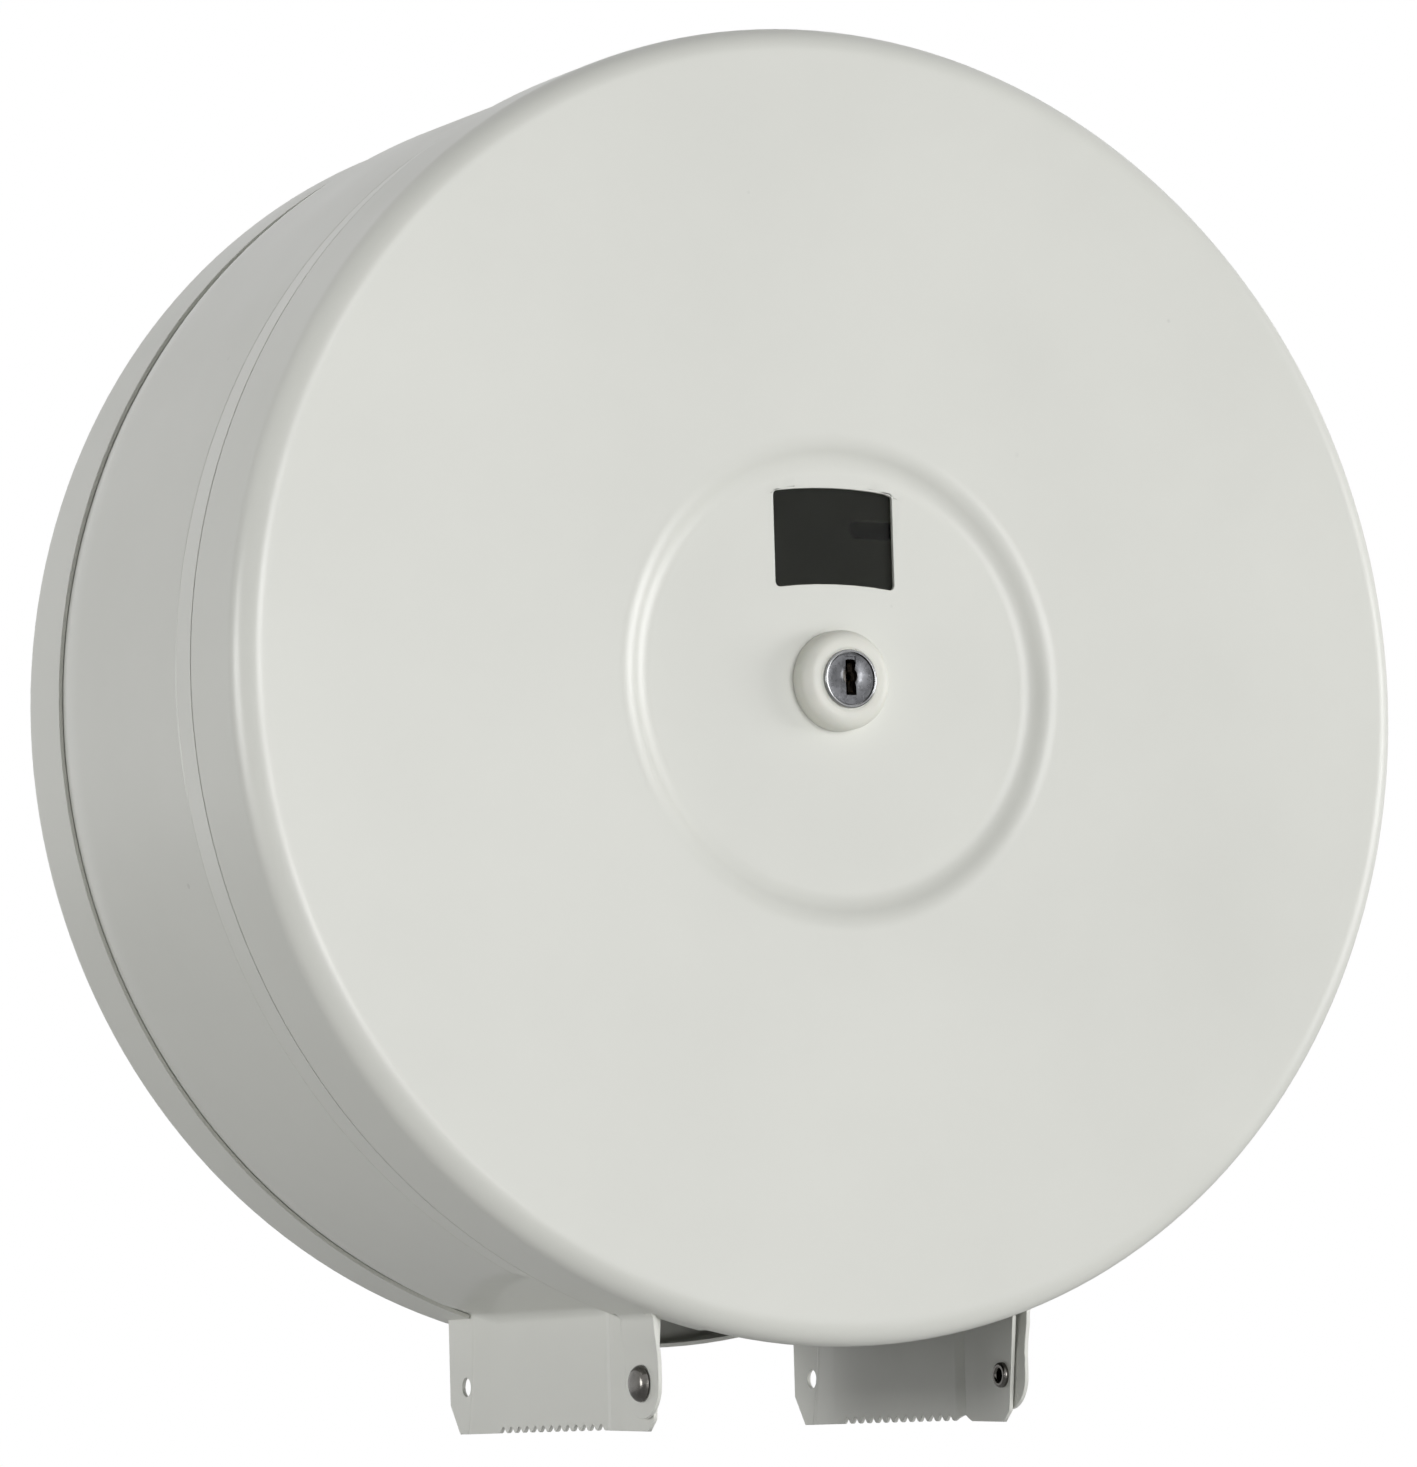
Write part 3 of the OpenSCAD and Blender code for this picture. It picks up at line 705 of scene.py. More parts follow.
def slant(h, z):
    """How far a blade's point leans: the rear fold back below, the front edge forward above."""
    fold = min((h - FOLD_FROM) / (FOLD_REAR - FOLD_FROM), (FOLD_TO - h) / (FOLD_TO - FOLD_REAR))
    foot = unit((FOLD_TOP_Z - z) / FOLD_FALL) ** 2
    ahead = unit((h - BEAD_H) / (BLADE_FRONT - BEAD_H))
    return (FRONT_SLANT * ahead * unit((z - FRONT_LEAN_Z) / FRONT_LEAN_RISE)
            - FOLD_SLANT * max(0.0, fold) * foot)


def groove(h):
    """Depth of the fine groove along the crease."""
    return GROOVE if abs(h - CREASE_H) < 0.05 else 0.0


def half_section(h, notched):
    """Half of the band's section at row h, from the blade's lower edge to the top."""
    on_blade = blade_h(h)
    bend = blade_bend(h)
    cx = blade_face(h) + bend
    r_low = band_radius(h, cx) - groove(h)
    cz = -math.sqrt((r_low + bend) ** 2 - cx ** 2)
    low = blade_edge(on_blade, notched)
    row = []
    for t in BLADE_STEPS[:-1]:
        z = mix(low, cz, t)
        row.append((blade_face(on_blade), on_blade + slant(on_blade, z), z))
    end = math.degrees(math.atan2(-cz, -cx))
    row += [(x, h, z) for x, z in arc(cx, cz, bend, 180, end, BEND_STEPS)]
    first = math.atan2(row[-1][0], -row[-1][2])
    near = [0.14 * i / 32 for i in range(1, 33)]
    for t in near + [mix(0.14, 1.0, i / 84) for i in range(1, 85)]:
        a = mix(first, math.pi, t)
        r = band_radius(h, BAND_R * math.sin(a) if a < TAU / 4 else BAND_R) - groove(h)
        row.append((r * math.sin(a), h, -r * math.cos(a)))
    return row


def full_section(h):
    """The band's whole section, from the right blade over the top to the left blade."""
    left = [(-x, hh, z) for x, hh, z in half_section(h, False)]
    return half_section(h, True) + left[-2::-1]


bm = bmesh.new()
add_grid(bm, [full_section(h) for h in band_rows])
holes = [rod("hole", CORNER_HOLE[2], (-60, CORNER_HOLE[0], CORNER_HOLE[1]),
             (60, CORNER_HOLE[0], CORNER_HOLE[1])),
         rod("hole", 2.5, (-60, HINGE_H, HINGE_Z), (60, HINGE_H, HINGE_Z))]
finish_piece("side_band_sheet", bm, "housing", white_paint, ["side_band"],
             wall=SHEET, cutters=holes, round_edges=0.12, middle=(0, 60, 0))

# ---- Front cover ----


def window_outline():
    """The window, with its upper and lower edges bowed up."""
    half = WINDOW_W / 2
    top, low = WINDOW_LOW + WINDOW_H, WINDOW_LOW

    def bow(x):
        return WINDOW_BOW * (1 - (x / half) ** 2)

    corners = [(half, top, WINDOW_CORNER)]
    corners += [(x, top + bow(x), 0) for x in (10, 5, 0, -5, -10)]
    corners += [(-half, top, WINDOW_CORNER), (-half, low, WINDOW_CORNER)]
    corners += [(x, low + bow(x), 0) for x in (-10, -5, 0, 5, 10)]
    corners += [(half, low, WINDOW_CORNER)]
    return [(WINDOW_X + x, z) for x, z in rounded(corners, 5, True)]


def ear_columns(h):
    """Points of the left ear at height h, from the skirt down to the ear's round end."""
    x_top = EAR_X + EAR_STAND
    cx = x_top + EAR_BEND
    cz = -math.sqrt((COVER_R + EAR_BEND) ** 2 - cx ** 2)
    k = COVER_R / (COVER_R + EAR_BEND)
    end = math.degrees(math.atan2(cz * k - cz, cx * k - cx))
    row = [(x, h, z) for x, z in arc(cx, cz, EAR_BEND, end, 180, 6)]
    low = HINGE_Z - math.sqrt(max(0.0, EAR_R ** 2 - (h - HINGE_H) ** 2))
    for t in (0.15, 0.3, 0.45, 0.6, 0.7, 0.8, 0.9, 1.0):
        z = mix(cz, low, t)
        lean = smooth((z - HINGE_Z - 4.5) / (cz - HINGE_Z - 4.5))
        row.append((mix(EAR_X, x_top, lean), h, z))
    return row


ear_rows = [HINGE_H + EAR_R * math.cos(math.radians(a)) for a in range(180, -1, -9)]
ear_rows = sorted(set([round(h, 4) for h in ear_rows] + [LIP_H]))
ear_top = ear_columns(HINGE_H)[0]
ear_angle = math.atan2(ear_top[0], -ear_top[2])
lip_angle = math.asin(LIP_MID_X / COVER_R)
cover_angles = [-ear_angle, -lip_angle, lip_angle, ear_angle]
cover_angles += [mix(-ear_angle, -lip_angle, t) for t in (0.33, 0.66)]
cover_angles += [mix(lip_angle, ear_angle, t) for t in (0.33, 0.66)]
cover_angles += [mix(-lip_angle, lip_angle, i / 14) for i in range(1, 14)]
cover_angles += [mix(ear_angle, TAU - ear_angle, i / 170) for i in range(1, 170)]
cover_angles = sorted(a % TAU for a in cover_angles)
skirt_rows = sorted(set([COVER_BACK, COVER_BACK + 0.3, LIP_MID_H, LIP_MID_H + 0.3, 119.2] + ear_rows))
cover_profile = [(COVER_R, h) for h in skirt_rows]
cover_profile += arc(COVER_R - EDGE_R, DEPTH - EDGE_R, EDGE_R, 0, 90, 14)
cover_profile += [(r, DEPTH) for r in (148.0, 130.0, 100.0, 75.0, 60.0)]
dish_mid = DISH_R - DISH_SLOPE / 2
cover_profile += rounded([(59.6, DEPTH, 0), (dish_mid + DISH_BEND, DEPTH, DISH_ARC),
                          (dish_mid - DISH_BEND, DISH_FLOOR, DISH_ARC), (47.0, DISH_FLOOR, 0)], 10)


def cover_keep(i, j):
    """False where the cover's skirt is cut away below, between and beside the ears."""
    low, high = cover_profile[i][1], cover_profile[i + 1][1]
    a = (cover_angles[j] + (cover_angles[(j + 1) % len(cover_angles)] - cover_angles[j]) % TAU / 2)
    a = abs((a + math.pi) % TAU - math.pi)
    if cover_profile[i][0] < COVER_R - 0.1 or a > ear_angle:
        return True
    return (low + high) / 2 > (LIP_H if a > lip_angle else LIP_MID_H)


bm = bmesh.new()
add_grid(bm, turned_y(cover_profile, cover_angles), cover_keep, wrap=True)
last_r = cover_profile[-1][0]
floor_ring = [(last_r * math.sin(a), -last_r * math.cos(a)) for a in cover_angles]
add_plate(bm, floor_ring, [window_outline(), ring(LOCK_HOLE_R)], DISH_FLOOR, HOLE_MARGIN)
for side in (1, -1):
    rows = [[(side * x, h, z) for x, h, z in ear_columns(h)] for h in ear_rows]
    add_grid(bm, rows, lambda i, j: ear_rows[i + 1] <= LIP_H or j > 1)
holes = [rod("hole", 2.56, (-60, HINGE_H, HINGE_Z), (60, HINGE_H, HINGE_Z))]
finish_piece("front_cover_sheet", bm, "cover", white_paint, ["front_cover"],
             wall=SHEET, cutters=holes, round_edges=0.14, middle=(0, 90, 0))

# ---- Rear pan ----


def slot_outline(x, z):
    """A fixing slot with round ends, as (x, z) points."""
    half = (SLOT_LENGTH - SLOT_WIDTH) / 2
    r = SLOT_WIDTH / 2
    return arc(x + half, z, r, -90, 90, 10) + arc(x - half, z, r, 90, 270, 10)


slit = [math.asin(SLIT_IN / PAN_R), math.asin(SLIT_OUT / PAN_R)]
pan_angles = [s * a for s in (1, -1) for a in slit]
pan_angles += [mix(-slit[0], slit[0], i / 18) for i in range(1, 18)]
pan_angles += [mix(slit[1], TAU - slit[1], i / 170) for i in range(1, 170)]
pan_angles = sorted(a % TAU for a in pan_angles)
pan_profile = [(PAN_PLATE_R, 0.0), (149.4, 0.0)]
pan_profile += arc(PAN_R - PAN_CORNER, PAN_CORNER, PAN_CORNER, -90, 0, 8)
pan_profile += [(PAN_R, h) for h in (4.5, SLIT_BACK, 10.0, 14.0, 18.0, 19.2, PAN_SKIRT)]


def pan_keep(i, j):
    """False in the two slits of the pan's skirt that the blades pass through."""
    a = pan_angles[j] + (pan_angles[(j + 1) % len(pan_angles)] - pan_angles[j]) % TAU / 2
    a = abs((a + math.pi) % TAU - math.pi)
    return pan_profile[i][1] < SLIT_BACK - 0.01 or not slit[0] < a < slit[1]


bm = bmesh.new()
add_grid(bm, turned_y(pan_profile, pan_angles), pan_keep, wrap=True)
back_ring = [(PAN_PLATE_R * math.sin(a), -PAN_PLATE_R * math.cos(a)) for a in pan_angles]
slots = [slot_outline(sx * SLOT_X, sz * SLOT_Z) for sx in (1, -1) for sz in (1, -1)]
rivet_spots = [(RIVET_RING * math.cos(math.radians(a)), RIVET_RING * math.sin(math.radians(a)))
               for a in (45, 135, 225, 315)]
rivet_holes = [ring(2.0, 24, x, z) for x, z in rivet_spots]
add_plate(bm, back_ring, slots + rivet_holes, 0.0, HOLE_MARGIN)
finish_piece("rear_pan_sheet", bm, "housing", white_paint, ["rear_pan"],
             wall=SHEET, round_edges=0.14, middle=(0, 30, 0))

# ---- Lock ----

bm = bmesh.new()
dome = [(BOSS_R, DISH_FLOOR, 0.2), (BOSS_R - 0.1, BOSS_TOP - 0.1, 3.1), (7.9, BOSS_TOP + 0.05, 0.9),
        (7.3, BOSS_TOP - 0.1, 0.1), (7.2, 128.9, 0), (6.15, 128.9, 0)]
boss = rounded([(6.15, DISH_FLOOR, 0)] + dome, 9)
add_grid(bm, turned_y(boss, around(96)), wrap=True, closed=True)
finish_piece("lock_boss_moulding", bm, "cover", ivory, ["lock_boss"],
             middle=(9, 126, 0))

bm = bmesh.new()
thread = [(6.0 - 0.28 * (i % 2), 100.4 + i * 0.5) for i in range(34)]
barrel = [(4.65, 100.0), (5.7, 100.0)] + thread + [(6.0, 117.6), (6.0, 128.9)]
barrel += rounded([(6.0, 128.9, 0), (6.9, 128.9, 0.1), (6.9, LOCK_FACE, 0.4), (6.25, LOCK_FACE, 0.12),
                   (6.2, 129.3, 0), (4.65, 129.3, 0)], 5)[1:]
rows = [[(max(-5.4, min(5.4, x)) if h < 128.8 else x, h, z) for x, h, z in row]
        for row in turned_y(barrel, around(96))]
add_grid(bm, rows, wrap=True, closed=True)
finish_piece("lock_barrel_shell", bm, "cover", rim_chrome, ["lock_barrel"],
             middle=(5.3, 116, 0))


def keyway_outline(half_w, half_h, bulge):
    """Upright slot with a round bulge, as (x, z) points."""
    lift = math.degrees(math.asin(half_w / bulge))
    out = [(half_w, half_h), (-half_w, half_h)] + arc(0, 0, bulge, 90 + lift, 270 - lift, 12)
    out += [(-half_w, -half_h), (half_w, -half_h)] + arc(0, 0, bulge, lift - 90, 90 - lift, 12)
    return [(x, z + KEYWAY_LIFT) for x, z in out]


bm = bmesh.new()
mouth = keyway_outline(1.38, 4.55, 3.1)
add_plate(bm, ring(5.95, 64), [mouth], PLUG_FACE)
funnel = [(mouth, PLUG_FACE), (keyway_outline(1.3, 4.45, 1.95), 129.3),
          (keyway_outline(1.15, 3.75, 1.7), 128.5), (keyway_outline(1.1, 3.7, 1.6), 128.2),
          (keyway_outline(1.1, 3.7, 1.6), 112.0)]
add_grid(bm, [[(x, h, z) for x, z in line] for line, h in funnel], wrap=True)
add_plate(bm, funnel[-1][0], [], 112.0)
add_grid(bm, turned_y([(5.95, PLUG_FACE), (6.08, 129.62), (6.1, 129.45), (4.6, 129.45), (4.6, 99.8),
                       (4.4, 99.5)], around(64)), wrap=True)
add_plate(bm, ring(4.4, 64), [], 99.5)
add_block(bm, box_outline(2.5, 2.5, 0.4), [], 89.9, 99.5)
finish_piece("lock_plug_core", bm, "plug", plug_steel, ["lock_plug"],
             middle=(0, 115, 0))

bm = bmesh.new()
add_block(bm, box_outline(0.9, 3.4, 0.2, KEYWAY_LIFT), [box_outline(0.4, 1.1, 0.1, -0.9)],
          125.2, 125.7)
finish_piece("keyway_shutter", bm, "plug", shutter_steel, round_edges=0.06,
             middle=(0, 125.45, 0))

bm = bmesh.new()
add_block(bm, box_outline(2.8, 3.6, 0.3), [box_outline(1.3, 1.8, 0.2, -0.3)], 122.2, 123.0)
finish_piece("wafer_stack", bm, "plug", brass, ["lock_wafers"], round_edges=0.08,
             middle=(0, 122.6, 0), copies={"count": 5, "step": (0, -3.0, 0)})

bm = bmesh.new()
washer = rounded([(6.1, 121.0, 0.1), (10.0, 121.0, 0.25), (10.0, 122.0, 0.3), (6.1, 122.0, 0.1)],
                 4, True)
add_grid(bm, turned_y(washer, around(72)), wrap=True, closed=True)
finish_piece("lock_washer_plate", bm, "cover", zinc, ["lock_washer"],
             middle=(8, 121.5, 0))


def hexagon(limit):
    """Hexagon 17 mm across its flats, its corners cut back to a circle."""
    out = []
    for a in around(72):
        turn = (a + TAU / 12) % (TAU / 6) - TAU / 12
        r = min(limit, 8.5 / math.cos(turn))
        out.append((r * math.cos(a), r * math.sin(a)))
    return out


bm = bmesh.new()
nut_rows = [(ring_points, h) for ring_points, h in (
    (hexagon(8.7), 117.0), (hexagon(9.2), 117.25), (hexagon(9.81), 117.7), (hexagon(9.81), 120.3),
    (hexagon(9.2), 120.75), (hexagon(8.7), 121.0))]
bore = [(r * math.cos(a), r * math.sin(a)) for r in (6.5, 6.02) for a in around(72)]
nut_rows += [(bore[:72], 121.0), (bore[72:], 120.6), (bore[72:], 117.4), (bore[:72], 117.0)]
add_grid(bm, [[(x, h, z) for x, z in line] for line, h in nut_rows], wrap=True, closed=True)
finish_piece("lock_nut_turned", bm, "cover", nickel, ["lock_nut"],
             middle=(7.5, 119, 0))

bm = bmesh.new()
bar = arc(0, 5.8, 3.2, 0, 180, 14) + arc(0, -5.8, 3.2, 180, 360, 14)
add_block(bm, bar, [box_outline(2.5, 2.5, 0.3)], 90.5, 93.0)
finish_piece("lock_bar", bm, "plug", zinc, ["lock_cam"], round_edges=0.3,
             middle=(0, 91.7, 0))

bm = bmesh.new()
split = [mix(0.1, TAU - 0.1, i / 48) for i in range(49)]
rows = [[(r * math.sin(a), h, -r * math.cos(a)) for a in split]
        for r, h in rounded([(1.5, 89.2, 0.1), (3.1, 89.2, 0.12), (3.1, 89.9, 0.12), (1.5, 89.9, 0.1)],
                            3, True)]
add_grid(bm, rows, closed=True)
for end in (0, -1):
    bm.faces.new([bm.verts.new((r[end][0] * MM, -r[end][1] * MM, r[end][2] * MM)) for r in rows])
finish_piece("bar_spring_washer", bm, "plug", zinc, ["cam_spring_washer"],
             middle=(2.3, 89.5, 0))

bm = bmesh.new()
screw = [(0.0, 87.3), (1.6, 87.38), (2.4, 87.7), (2.85, 88.2), (3.0, 88.8), (2.95, 89.15), (1.4, 89.2),
         (1.4, 95.6), (1.1, 95.9), (0.0, 95.9)]
add_grid(bm, turned_y(screw, around(48)), wrap=True)
cross = []
for wide, tall in ((0.4, 1.9), (1.9, 0.4)):
    tool = bmesh.new()
    add_block(tool, box_outline(wide, tall, 0.1), [], 86.0, 88.3)
    tidy_faces(tool, (0, 87, 0))
    cross.append(new_object("cross", tool))
finish_piece("bar_screw", bm, "plug", zinc, ["cam_screw"], cutters=cross,
             middle=(0, 90, 0))

# ---- Window pane's fasteners ----

bm = bmesh.new()
stud = [(0.0, 118.0), (1.1, 118.0), (1.5, 118.4), (1.5, 121.7), (1.3, 121.9), (0.0, 121.9)]
add_grid(bm, turned_y(stud, around(32), -STUD_X, STUD_Z), wrap=True)
finish_piece("pane_studs_pair", bm, "cover", zinc, ["pane_studs"],
             middle=(-STUD_X, 120, STUD_Z), copies={"count": 2, "step": (2 * STUD_X, 0, 0)})

bm = bmesh.new()
petals = [(r * math.sin(a) - STUD_X, STUD_Z - r * math.cos(a))
          for a, r in ((a, 1.55 + 0.45 * (math.cos(6 * a) > 0.6)) for a in around(72))]
crown, rim = ring(2.5, 72, -STUD_X, STUD_Z), ring(3.4, 72, -STUD_X, STUD_Z)
dished = [(petals, 119.95), (crown, 120.15), (rim, 120.0), (rim, 120.3), (crown, 120.45),
          (petals, 120.25)]
add_grid(bm, [[(x, h, z) for x, z in line] for line, h in dished], wrap=True, closed=True)
finish_piece("push_nuts_pair", bm, "cover", zinc, ["pane_push_nuts"],
             middle=(-STUD_X + 2.6, 120.2, STUD_Z), copies={"count": 2, "step": (2 * STUD_X, 0, 0)})

# ---- Spindle ----

bm = bmesh.new()
spots = [ring(2.0, 24, x, z) for x, z in rivet_spots]
add_block(bm, ring(FLANGE_R, 96), spots, 1.0, 3.0)
finish_piece("spindle_base", bm, "housing", zinc, ["spindle_flange"], round_edges=0.3,
             middle=(31.5, 2, 0))

bm = bmesh.new()
rivet = [(0.0, 0.1), (1.98, 0.1), (1.98, 3.0), (3.4, 3.02), (3.35, 3.3), (2.7, 3.8), (1.6, 4.12),
         (0.0, 4.2)]
add_grid(bm, turned_y(rivet, around(32), *rivet_spots[0]), wrap=True)
finish_piece("spindle_rivets_set", bm, "housing", nickel, ["spindle_rivets"],
             middle=(rivet_spots[0][0], 2, rivet_spots[0][1]), copies={"count": 4, "turn": 90.0})

bm = bmesh.new()
tube = rounded([(15.5, 3.0, 0.1), (TUBE_R, 3.0, 0.1), (TUBE_R, 95.0, 0.3), (15.5, 95.0, 0.3)], 3,
               True)
add_grid(bm, turned_y(tube, around(96)), wrap=True, closed=True)
finish_piece("spindle_sleeve", bm, "housing", zinc, ["spindle_tube"],
             middle=(16.2, 50, 0))

bm = bmesh.new()
slot_hole = box_outline(3.8, 11.0, 1.2)
add_block(bm, ring(TUBE_R + 2.5, 96), [slot_hole], 95.0, 97.0)
add_grid(bm, turned_y([(14.0, 95.0), (14.0, 92.0), (15.45, 92.0), (15.45, 95.0)], around(96)),
         wrap=True, closed=True)
finish_piece("spindle_cap", bm, "housing", zinc, ["spindle_keeper"], round_edges=0.25,
             middle=(17, 96, 0))

bm = bmesh.new()
hub = rounded([(HUB_BORE, 3.4, 0.2), (HUB_R, 3.4, 0.4), (HUB_R, 6.4, 0.5), (21.3, 7.2, 0.3),
               (21.3, 89.0, 0.5), (HUB_R, 90.2, 0.5), (HUB_R, 93.4, 0.3), (21.0, 94.6, 0.4),
               (18.8, 94.6, 0.2), (18.6, 93.8, 0.2), (HUB_BORE, 93.8, 0.1)], 3, True)
add_grid(bm, turned_y(hub, around(96)), wrap=True, closed=True)
finish_piece("roll_hub_moulding", bm, "hub", grey_hub, ["roll_hub"],
             middle=(19.5, 50, 0))

bm = bmesh.new()
rib = rounded([(-0.9, 21.1, 0), (-0.6, 21.95, 0.2), (0.6, 21.95, 0.2), (0.9, 21.1, 0)], 3)
rib_rows = [(7.6, 0.0), (9.2, 1.0), (87.0, 1.0), (88.6, 0.0)]
add_grid(bm, [[(x, h, 21.1 + (z - 21.1) * tall) for x, z in rib] for h, tall in rib_rows])
finish_piece("roll_hub_ribs", bm, "hub", grey_hub, middle=(0, 48, 19),
             copies={"count": 12, "turn": 30.0})

# ---- Hinge rivets ----


def rivet_bm(side):
    """Low domed head outside the ear, shank, and a rolled hollow end inside the blade."""
    seat, inner = EAR_X + 0.3, BLADE_X + BLADE_FRONT_FLARE - SHEET
    profile = [(0.0, seat + 1.95), (1.6, seat + 1.92), (2.7, seat + 1.8), (3.15, seat + 1.66),
               (3.6, seat + 1.38), (3.95, seat + 1.0), (4.2, seat + 0.55), (4.3, seat + 0.2),
               (4.2, seat), (2.5, seat), (2.5, inner)]
    profile += rounded([(2.5, inner, 0), (3.0, inner, 0.1), (3.0, inner - 1.2, 0.6),
                        (1.5, inner - 1.2, 0.55), (1.5, inner + 2.8, 0), (0.0, inner + 2.8, 0)], 6)
    bm = bmesh.new()
    add_grid(bm, turned_x([(r, side * x) for r, x in profile], around(48), HINGE_H, HINGE_Z), wrap=True)
    return bm


for side, name in ((-1, "hinge_rivet_left"), (1, "hinge_rivet_right")):
    finish_piece(name + "_turned", rivet_bm(side), "housing", rivet_nickel, [name],
                 middle=(side * 49.5, HINGE_H, HINGE_Z))

# The pane is a flat sheet, so it stays as the frame has it.
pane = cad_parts["window_pane"]
pane.data.materials.clear()
pane.data.materials.append(smoke)

# ---- Camera, light and surroundings ----

FOCAL_PX = 7180.0
IMAGE_H = 1467.0
CAMERA_AT = Vector((-0.8221, -1.5777, -0.1734))
YAW, PITCH, ROLL = (math.radians(a) for a in (28.43, 5.54, -1.58))


def place_camera():
    """Camera at the photograph's place and angle."""
    ahead = Vector((math.sin(YAW) * math.cos(PITCH), math.cos(YAW) * math.cos(PITCH), math.sin(PITCH)))
    right = ahead.cross(Vector((0, 0, 1))).normalized()
    up = right.cross(ahead)
    right, up = (math.cos(ROLL) * right + math.sin(ROLL) * up,
                 math.cos(ROLL) * up - math.sin(ROLL) * right)
    data = bpy.data.cameras.new("camera")
    data.sensor_fit = "VERTICAL"
    data.sensor_height = 36.0
    data.lens = FOCAL_PX / IMAGE_H * 36.0
    data.clip_start, data.clip_end = 0.05, 30.0
    cam = bpy.data.objects.new("camera", data)
    turn = Matrix((right, up, -ahead)).transposed().to_4x4()
    cam.matrix_world = Matrix.Translation(CAMERA_AT) @ turn
    bpy.context.scene.collection.objects.link(cam)
    bpy.context.scene.camera = cam


# Light of the surroundings: from and to along Y, and the level at each.
WORLD_LIGHT = (-0.2, 0.8, 0.03, 0.1)
RIGHT_LIGHT, FRONT_LIGHT, LEFT_LIGHT = 1.24, 1.47, 1.68
LOW_LIGHT = 1.6
FLOOR_GLOW = 0.1
FLOOR_SHINE = 0.25
FLOOR_FACE = 0.42
FLOOR_Z = -0.52
# Half width, half height and gap behind the pan of the painted-shade cards at the slots, in mm.
CARD_X, CARD_Z, CARD_GAP = 14, 6, 1.0


def far_light(name, towards, strength, spread):
    """Soft light from one direction, so far off that it is even over the whole object."""
    data = bpy.data.lights.new(name, "SUN")
    data.energy = strength
    data.angle = math.radians(spread)
    lamp = bpy.data.objects.new(name, data)
    lamp.rotation_mode = "QUATERNION"
    lamp.rotation_quaternion = Vector(towards).to_track_quat("Z", "Y")
    bpy.context.scene.collection.objects.link(lamp)


def low_light():
    """Wide soft lamp in front of the drum and below it."""
    data = bpy.data.lights.new("low", "AREA")
    data.shape = "RECTANGLE"
    data.size, data.size_y = 1.2, 0.5
    data.energy = LOW_LIGHT
    lamp = bpy.data.objects.new("low", data)
    lamp.location = (0.1, -0.9, -0.38)
    lamp.rotation_mode = "QUATERNION"
    lamp.rotation_quaternion = Vector(lamp.location).to_track_quat("Z", "Y")
    lamp.visible_camera = False
    bpy.context.scene.collection.objects.link(lamp)


def seen_white(tree):
    """1 where a ray should meet plain white: from the camera, in gloss or through the pane."""
    path = tree.nodes.new("ShaderNodeLightPath")
    total = None
    for name in ("Is Camera Ray", "Is Glossy Ray", "Is Transmission Ray"):
        out = path.outputs[name]
        if total is None:
            total = out
            continue
        n = tree.nodes.new("ShaderNodeMath")
        n.operation = "MAXIMUM"
        tree.links.new(total, n.inputs[0])
        tree.links.new(out, n.inputs[1])
        total = n.outputs[0]
    return total


def make_world():
    """Faint light from all round, stronger from the wall's side, that shows as plain white itself."""
    world = bpy.data.worlds.new("studio")
    world.use_nodes = True
    tree = world.node_tree
    tree.nodes.clear()

    out = tree.nodes.new("ShaderNodeOutputWorld")
    light, plain = tree.nodes.new("ShaderNodeBackground"), tree.nodes.new("ShaderNodeBackground")
    place = tree.nodes.new("ShaderNodeTexCoord")
    split = tree.nodes.new("ShaderNodeSeparateXYZ")
    tree.links.new(place.outputs["Generated"], split.inputs[0])
    level = tree.nodes.new("ShaderNodeMapRange")
    level.interpolation_type = "SMOOTHSTEP"
    for i, v in enumerate(WORLD_LIGHT):
        level.inputs[i + 1].default_value = v
    tree.links.new(split.outputs["Y"], level.inputs[0])
    tree.links.new(level.outputs[0], light.inputs[1])
    light.inputs[0].default_value = (1.0, 1.0, 0.99, 1)
    plain.inputs[0].default_value = (1, 1, 1, 1)
    plain.inputs[1].default_value = 1.0
    pick = tree.nodes.new("ShaderNodeMixShader")
    tree.links.new(seen_white(tree), pick.inputs[0])
    tree.links.new(light.outputs[0], pick.inputs[1])
    tree.links.new(plain.outputs[0], pick.inputs[2])
    tree.links.new(pick.outputs[0], out.inputs[0])
    bpy.context.scene.world = world


def one_sided(tree, front, out):
    """Shows a shader on the front of a sheet, whose back is clear."""
    clear = tree.nodes.new("ShaderNodeBsdfTransparent")
    side = tree.nodes.new("ShaderNodeNewGeometry")
    pick = tree.nodes.new("ShaderNodeMixShader")
    tree.links.new(side.outputs["Backfacing"], pick.inputs[0])
    tree.links.new(front, pick.inputs[1])
    tree.links.new(clear.outputs[0], pick.inputs[2])
    tree.links.new(pick.outputs[0], out.inputs[0])


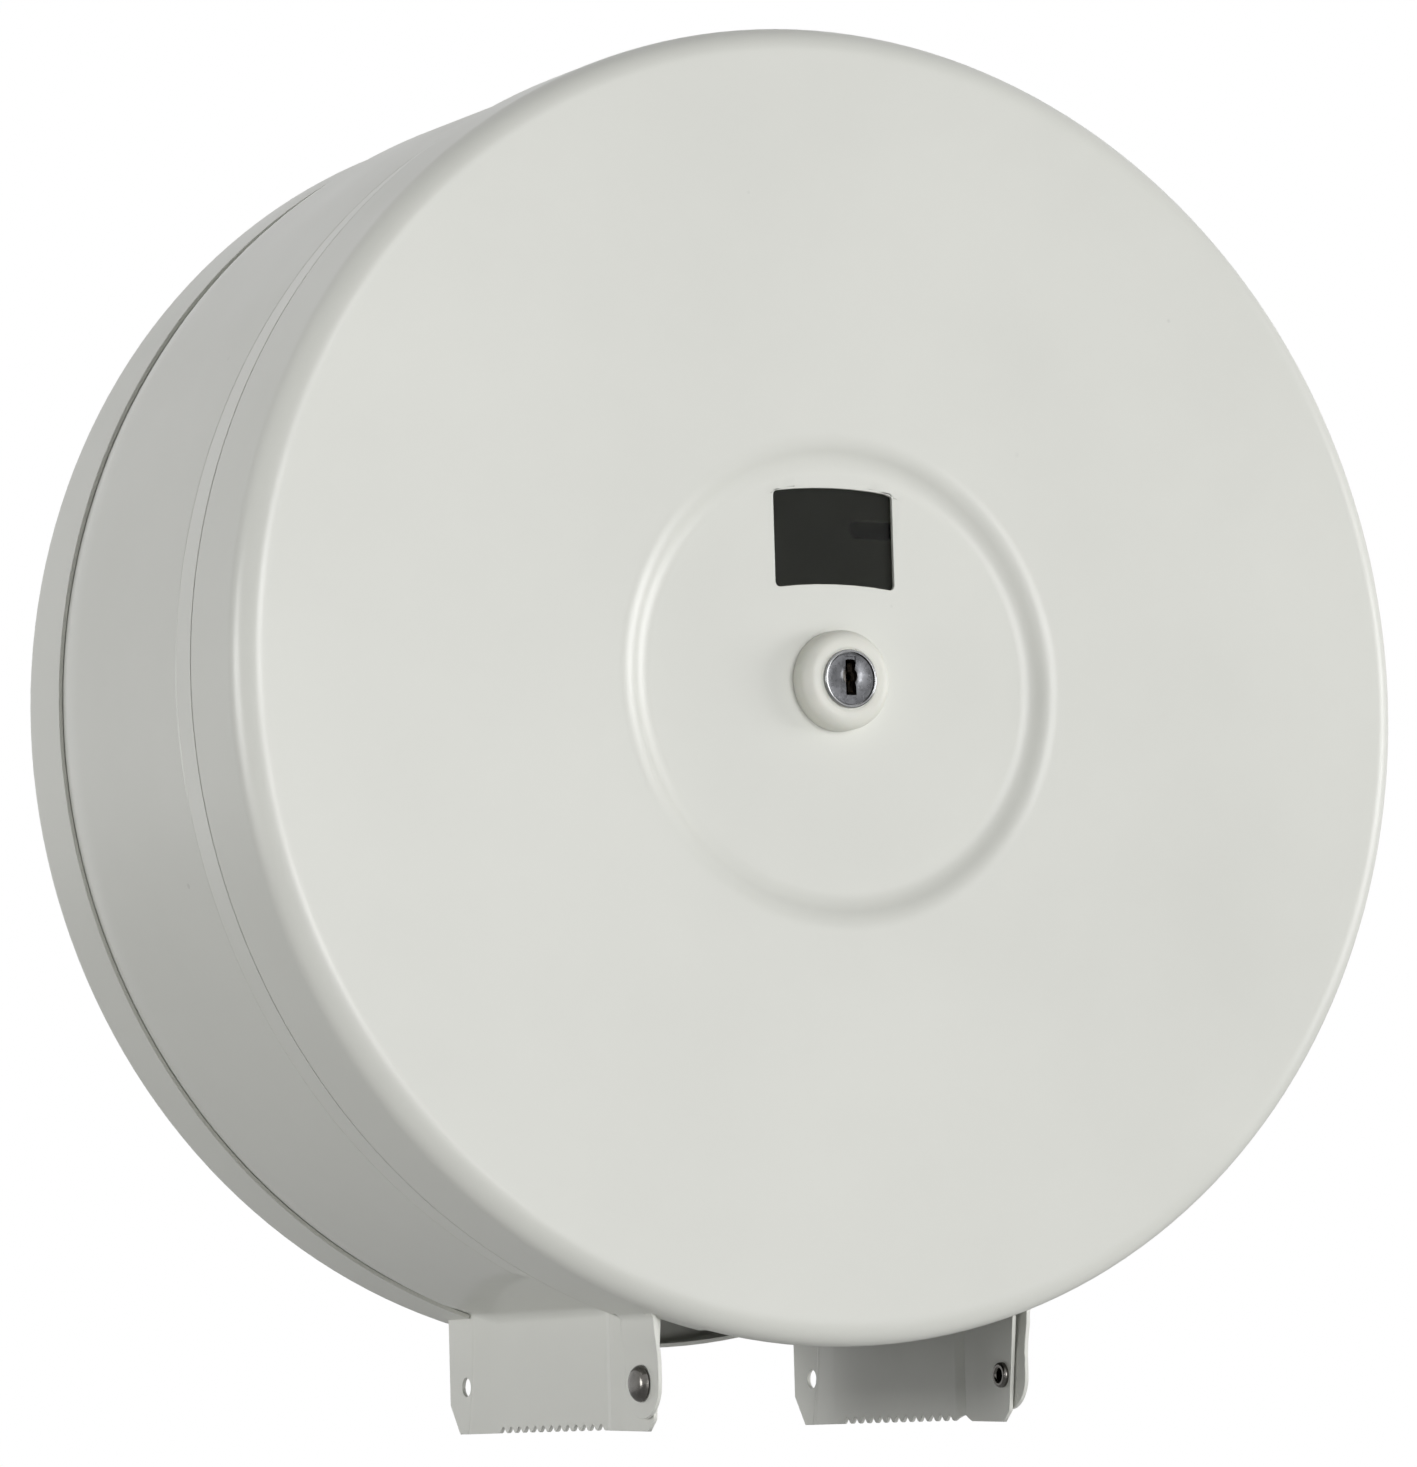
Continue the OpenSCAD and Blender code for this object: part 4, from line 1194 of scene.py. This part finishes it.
def make_floor():
    """Pale floor below the drum, seen from above only, that sends some light up to the drum."""
    bm = bmesh.new()
    bmesh.ops.create_grid(bm, x_segments=1, y_segments=1, size=4.0)
    obj = new_object("floor", bm)
    obj.location = (0, 0, FLOOR_Z)
    m = bpy.data.materials.new("pale_floor")
    m.use_nodes = True
    tree = m.node_tree
    tree.nodes.clear()
    out = tree.nodes.new("ShaderNodeOutputMaterial")
    paint = tree.nodes.new("ShaderNodeBsdfDiffuse")
    path = tree.nodes.new("ShaderNodeLightPath")
    tone = tree.nodes.new("ShaderNodeMix")
    tone.data_type = "RGBA"
    tone.inputs[6].default_value = (0.80, 0.80, 0.79, 1)
    tone.inputs[7].default_value = (0.86, 0.86, 0.85, 1)
    tree.links.new(path.outputs["Is Camera Ray"], tone.inputs[0])
    tree.links.new(tone.outputs[2], paint.inputs[0])
    glow = tree.nodes.new("ShaderNodeEmission")
    shine = tree.nodes.new("ShaderNodeMapRange")
    shine.inputs[3].default_value, shine.inputs[4].default_value = FLOOR_GLOW, FLOOR_SHINE
    face = tree.nodes.new("ShaderNodeMix")
    face.data_type = "FLOAT"
    face.inputs[3].default_value = FLOOR_FACE
    tree.links.new(path.outputs["Is Glossy Ray"], shine.inputs[0])
    tree.links.new(path.outputs["Is Camera Ray"], face.inputs[0])
    tree.links.new(shine.outputs[0], face.inputs[2])
    tree.links.new(face.outputs[0], glow.inputs["Strength"])
    both = tree.nodes.new("ShaderNodeAddShader")
    tree.links.new(paint.outputs[0], both.inputs[0])
    tree.links.new(glow.outputs[0], both.inputs[1])
    one_sided(tree, both.outputs[0], out)
    obj.data.materials.append(m)


def make_slot_shade_cards():
    """Small near-black cards behind the four slots: painted shade, standing in for the dark gap behind
    the pan as it shows through them.

    They cast no shade on the pan, and from behind they aren't seen.
    """
    bm = bmesh.new()
    for sx in (1, -1):
        for sz in (1, -1):
            x, z = sx * SLOT_X, sz * SLOT_Z
            corners = [(x - CARD_X, z - CARD_Z), (x + CARD_X, z - CARD_Z),
                       (x + CARD_X, z + CARD_Z), (x - CARD_X, z + CARD_Z)]
            bm.faces.new([bm.verts.new((px * MM, CARD_GAP * MM, pz * MM)) for px, pz in corners])
    obj = new_object("slot_shade_cards", bm)
    obj.visible_shadow = False
    obj.visible_diffuse = False
    m = bpy.data.materials.new("painted_slot_shade")
    m.use_nodes = True
    tree = m.node_tree
    shader = tree.nodes["Principled BSDF"]
    # Near-black colour: painted shade for the dark gap behind the pan, seen through the slots.
    shader.inputs["Base Color"].default_value = (0.003, 0.003, 0.003, 1)
    one_sided(tree, shader.outputs[0], tree.nodes["Material Output"])
    obj.data.materials.append(m)


place_camera()
make_world()
make_floor()
make_slot_shade_cards()
far_light("right", (0.906, -0.423, 0.0), RIGHT_LIGHT, 26.0)
far_light("front", (0.14, -0.985, 0.09), FRONT_LIGHT, 26.0)
far_light("left", (-0.996, 0.087, 0.0), LEFT_LIGHT, 30.0)
low_light()

bpy.context.scene.view_settings.view_transform = "Standard"
